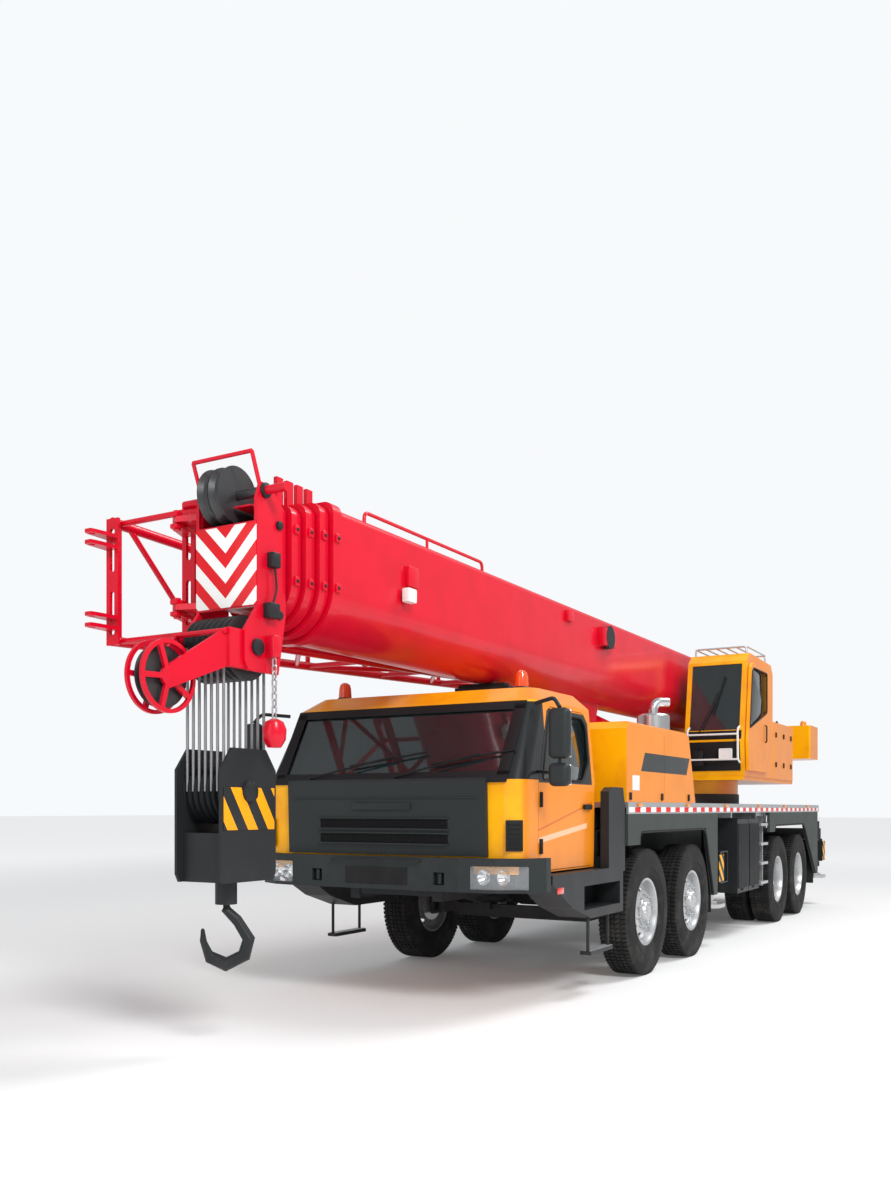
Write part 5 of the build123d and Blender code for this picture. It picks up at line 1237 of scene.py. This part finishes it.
@dataclass
class BoomTrim:
    """Chevrons, collar lugs, head and side fittings of the boom, and the hook block's bands and caps."""

    skin_x: float = 0.38
    width_step: float = 0.035
    collar_pitch: float = 0.11
    collar_height: float = 0.03

    def build(self) -> None:
        """Models the fittings."""
        front = station(-4.52)
        plate = Bench.block((-0.262, front - 0.006, 2.94), (0.262, front - 0.001, 3.48), 0.002)
        Bench.join("head_chevron_plate", [plate], PAINT.chevron, "boom_section_5", "red_paint")
        low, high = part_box("hook_block")
        bands = []
        for sign in (1, -1):
            x = sign * 0.2015
            corners = [(x, low.y + 0.02, 1.47), (x, high.y - 0.02, 1.47), (x, high.y - 0.02, 1.745),
                       (x, low.y + 0.02, 1.745)]
            if sign < 0:
                corners.reverse()
            bands.append(Bench.slab(corners, 0.003, 0.001))
        Bench.join("hook_block_bands", bands, PAINT.hook_bands, "hook_block", "black_paint")
        bolts = []
        for sign in (1, -1):
            cap = Bench.spun([(0.0, 0.0), (0.0, 0.075), (0.018, 0.07), (0.03, 0.04), (0.032, 0.0)],
                             (sign * 0.2, station(-4.52), 1.72), (sign, 0, 0), 28)
            bolts.append(cap)
            bolt = Bench.rod((sign * 0.2, station(-4.52), 1.78), (sign * 0.224, station(-4.52), 1.78), 0.009,
                             6, 0.001)
            bolts += Bench.ring(bolt, 6, (0, station(-4.52), 1.72))
        Bench.join("hook_block_caps", bolts, PAINT.black, "hook_block", "black_paint")
        pads, lugs = [], []
        for level in range(4):
            y = station(-3.78 - self.collar_pitch * level)
            x = self.skin_x - self.width_step * level + self.collar_height
            for z in (3.12, 3.47):
                lug = Bench.block((x - 0.004, y - 0.075, z), (x + 0.014, y - 0.03, z + 0.06), 0.004)
                lugs.append(lug)
                pads.append(Bench.rod((x + 0.012, y - 0.052, z + 0.03), (x + 0.02, y - 0.052, z + 0.03),
                                      0.014, 6, 0.002))
        Bench.join("collar_lugs", Bench.both(lugs), PAINT.red, "boom_base", "red_paint")
        Bench.join("collar_pins", Bench.both(pads), PAINT.black, "boom_base", "black_paint")
        self.head_fittings()
        self.side_fittings()

    def head_fittings(self) -> None:
        """Shaft ends, limit switch, chain and switch weight on the boom's head."""
        dark = []
        for sign in (1, -1):
            for s, z, radius in ((-4.44, 3.7, 0.05), (-4.52, 2.66, 0.055), (-4.3, 2.9, 0.03),
                                 (-4.3, 3.5, 0.03)):
                dark.append(Bench.rod((sign * 0.262, station(s), z), (sign * 0.285, station(s), z), radius,
                                      20, 0.004))
        dark += [Bench.block((0.262, station(-4.46), 2.86), (0.33, station(-4.36), 2.96), 0.008),
                 Bench.block((0.262, station(-4.42), 3.2), (0.32, station(-4.34), 3.3), 0.008),
                 Bench.pipe([(0.3, station(-4.38), 3.2), (0.3, station(-4.36), 3.05),
                             (0.3, station(-4.4), 2.96)], 0.007, 0.05)]
        Bench.join("head_shaft_ends", dark, PAINT.black, "boom_section_5", "black_paint")
        x, y = 0.31, station(-4.4)
        link = Bench.pipe([(x, y - 0.016, 2.6), (x, y + 0.016, 2.6), (x, y + 0.016, 2.545),
                           (x, y - 0.016, 2.545)], 0.006, 0.016, True)
        quarter = Matrix.Rotation(math.radians(90), 4, "Z")
        turned = Bench.copied(link, Matrix.Translation((x, y, -0.045)) @ quarter @ Matrix.Translation((-x, -y,
                                                                                                       0)))
        links = Bench.row(link, 5, (0, 0, -0.09)) + Bench.row(turned, 4, (0, 0, -0.09))
        Bench.join("switch_chain", links, PAINT.bright, "boom_section_5", "bare_steel")
        weight = [Bench.spun([(0.0, 0.0), (0.0, 0.045), (0.05, 0.075), (0.12, 0.08), (0.17, 0.06),
                              (0.19, 0.02),
                              (0.19, 0.0)], (x, y, 2.01), (0, 0, 1), 28),
                  Bench.block((x - 0.05, y - 0.04, 2.6), (x + 0.03, y + 0.04, 2.75), 0.012)]
        Bench.join("switch_weight", weight, PAINT.red, "boom_section_5", "red_paint")

    def side_fittings(self) -> None:
        """Guard rail, work light, cable reel and brackets on the boom's side, and the pad of its rest."""
        edge, foot, top, front, back = 0.34, 3.69, 3.8, station(-3.4), station(-1.55)
        rail = [Bench.pipe([(edge, front, foot), (edge, front, top), (edge, back, top), (edge, back, foot)],
                           0.014, 0.06),
                Bench.rod((edge, station(-2.5), foot), (edge, station(-2.5), top), 0.012, 12),
                Bench.block((0.37, station(-2.9), 3.34), (0.42, station(-2.75), 3.5), 0.008),
                Bench.block((0.37, station(1.1), 3.42), (0.46, station(1.45), 3.62), 0.01),
                Bench.block((0.37, station(0.2), 3.55), (0.42, station(0.34), 3.66), 0.008)]
        Bench.join("boom_side_brackets", rail, PAINT.red, "boom_base", "red_paint")
        lamp = [Bench.block((0.4, station(-2.98), 3.2), (0.47, station(-2.86), 3.31), 0.012)]
        Bench.join("boom_work_light", lamp, PAINT.white, "boom_base", "bare_steel")
        reel = [Bench.spun([(0.0, 0.0), (0.0, 0.13), (0.012, 0.13), (0.012, 0.06), (0.05, 0.06), (0.05, 0.13),
                            (0.062, 0.13), (0.062, 0.0)], (0.4, station(1.28), 3.52), (1, 0, 0), 36)]
        Bench.join("boom_cable_reel", reel, PAINT.black, "boom_base", "black_paint")
        pad = [Bench.block((-0.25, station(-0.93), 2.772), (0.25, station(-0.83), 2.806), 0.004)]
        Bench.join("boom_rest_rubber", pad, PAINT.seal, "carrier", "dark_plastic")


@dataclass
class RearLights:
    """Tail lamps, light bar and hazard boards at the carrier's rear."""

    def build(self) -> None:
        """Models the fittings."""
        rear = station(8.955)
        hazard = [Bench.block((sign * 0.72, rear - 0.02, 1.12), (sign * 1.28, rear - 0.016, 1.26), 0.001)
                  for sign in (1, -1)]
        bar = Bench.block((-1.29, rear - 0.06, 1.1), (1.29, rear - 0.018, 1.28), 0.006)
        Bench.join("rear_light_bar", [bar], PAINT.plastic, "carrier", "dark_plastic")
        Bench.join("rear_hazard_boards", hazard, PAINT.hazard, "carrier", "black_paint")
        lamps = []
        for x in (0.5, -0.66):
            lamps.append(Bench.block((x, rear - 0.02, 1.13), (x + 0.16, rear + 0.012, 1.25), 0.01))
        Bench.join("tail_lamps", lamps, LENS.red, "carrier", "glass")


@dataclass
class Studio:
    """Floor, lamps, world and camera."""

    camera_at: tuple[float, float, float] = (4.772, FIRST_AXLE_Y - 9.864, 1.605)
    yaw_deg: float = 30.04
    focal_px: float = 1057.2
    image_height_px: float = 1200.0
    horizon_px: float = 809.08
    world_light: float = 0.5
    world_seen: float = 0.97
    lamps: tuple[tuple[str, Point, float, float], ...] = (("key", (11.0, -12.0, 11.0), 4.0, 1700.0),
                                                          ("fill", (-3.0, -18.0, 6.0), 9.0, 350.0),
                                                          ("top", (7.0, 5.0, 15.0), 6.0, 1500.0))

    def build(self) -> None:
        """Sets the stage."""
        self.floor()
        self.world()
        for name, at, size, power in self.lamps:
            self.lamp(name, at, size, power)
        self.camera()

    @staticmethod
    def floor() -> None:
        """A wide pale floor that glows a little far away, so that its edge hardly shows."""
        Bench.clear()
        bpy.ops.mesh.primitive_plane_add(size=400.0, location=(0, 0, 0))
        floor = bpy.context.object
        floor.name = "floor"
        graph = Graph("floor_pale")
        tone = graph.noise(0.8).soft(0.2, 0.9)
        colour = graph.blend(tone * 0.1, (0.86, 0.86, 0.86), (0.83, 0.83, 0.83))
        x, y, _ = graph.axes()
        away = abs(x).most(abs(y)).soft(7.0, 26.0)
        glow = graph.blend(away, (0.16, 0.16, 0.16), (0.8, 0.8, 0.8))
        floor.data.materials.append(graph.surface(Base_Color=colour, Roughness=0.9, Emission_Color=glow,
                                                  Emission_Strength=0.5))

    def world(self) -> None:
        """A pale surround that the camera sees brighter than it lights."""
        world = bpy.data.worlds.new("studio")
        bpy.context.scene.world = world
        world.use_nodes = True
        tree = world.node_tree
        background = tree.nodes["Background"]
        background.inputs[0].default_value = (0.96, 0.98, 1.0, 1)
        path = tree.nodes.new("ShaderNodeLightPath")
        level = tree.nodes.new("ShaderNodeMix")
        level.inputs[2].default_value = self.world_light
        level.inputs[3].default_value = self.world_seen
        tree.links.new(path.outputs["Is Camera Ray"], level.inputs[0])
        tree.links.new(level.outputs[0], background.inputs[1])

    def camera(self) -> None:
        """The camera of the photograph, solved from it."""
        data = bpy.data.cameras.new("camera")
        data.sensor_fit = "VERTICAL"
        data.sensor_height = 36.0
        data.lens = 36.0 * self.focal_px / self.image_height_px
        data.shift_y = (self.horizon_px - self.image_height_px / 2) / self.image_height_px
        data.clip_end = 500.0
        camera = bpy.data.objects.new("camera", data)
        camera.location = self.camera_at
        camera.rotation_euler = (math.radians(90), 0, math.radians(self.yaw_deg))
        bpy.context.scene.collection.objects.link(camera)
        bpy.context.scene.camera = camera
        bpy.context.scene.view_settings.view_transform = "Standard"

    @staticmethod
    def lamp(name: str, at: Point, size: float, power: float) -> None:
        """A square area lamp that looks at the crane's middle."""
        data = bpy.data.lights.new(name, "AREA")
        data.size = size
        data.energy = power
        lamp = bpy.data.objects.new(name, data)
        lamp.location = at
        lamp.rotation_euler = (Vector((0, -1.0, 1.5)) - Vector(at)).to_track_quat("-Z", "Y").to_euler()
        bpy.context.scene.collection.objects.link(lamp)


def main() -> None:
    """Builds the stage and every sub-assembly in order."""
    Studio().build()
    Coat().apply()
    for assembly in (RunningGear(), CarrierCabFront(), CarrierDoors(), MirrorGlass(), HoodAndDeck(),
                     OperatorCabTrim(), BoomTrim(), RearLights()):
        assembly.build()
        log.info("built %s", type(assembly).__name__)


if __name__ == "__main__":
    main()
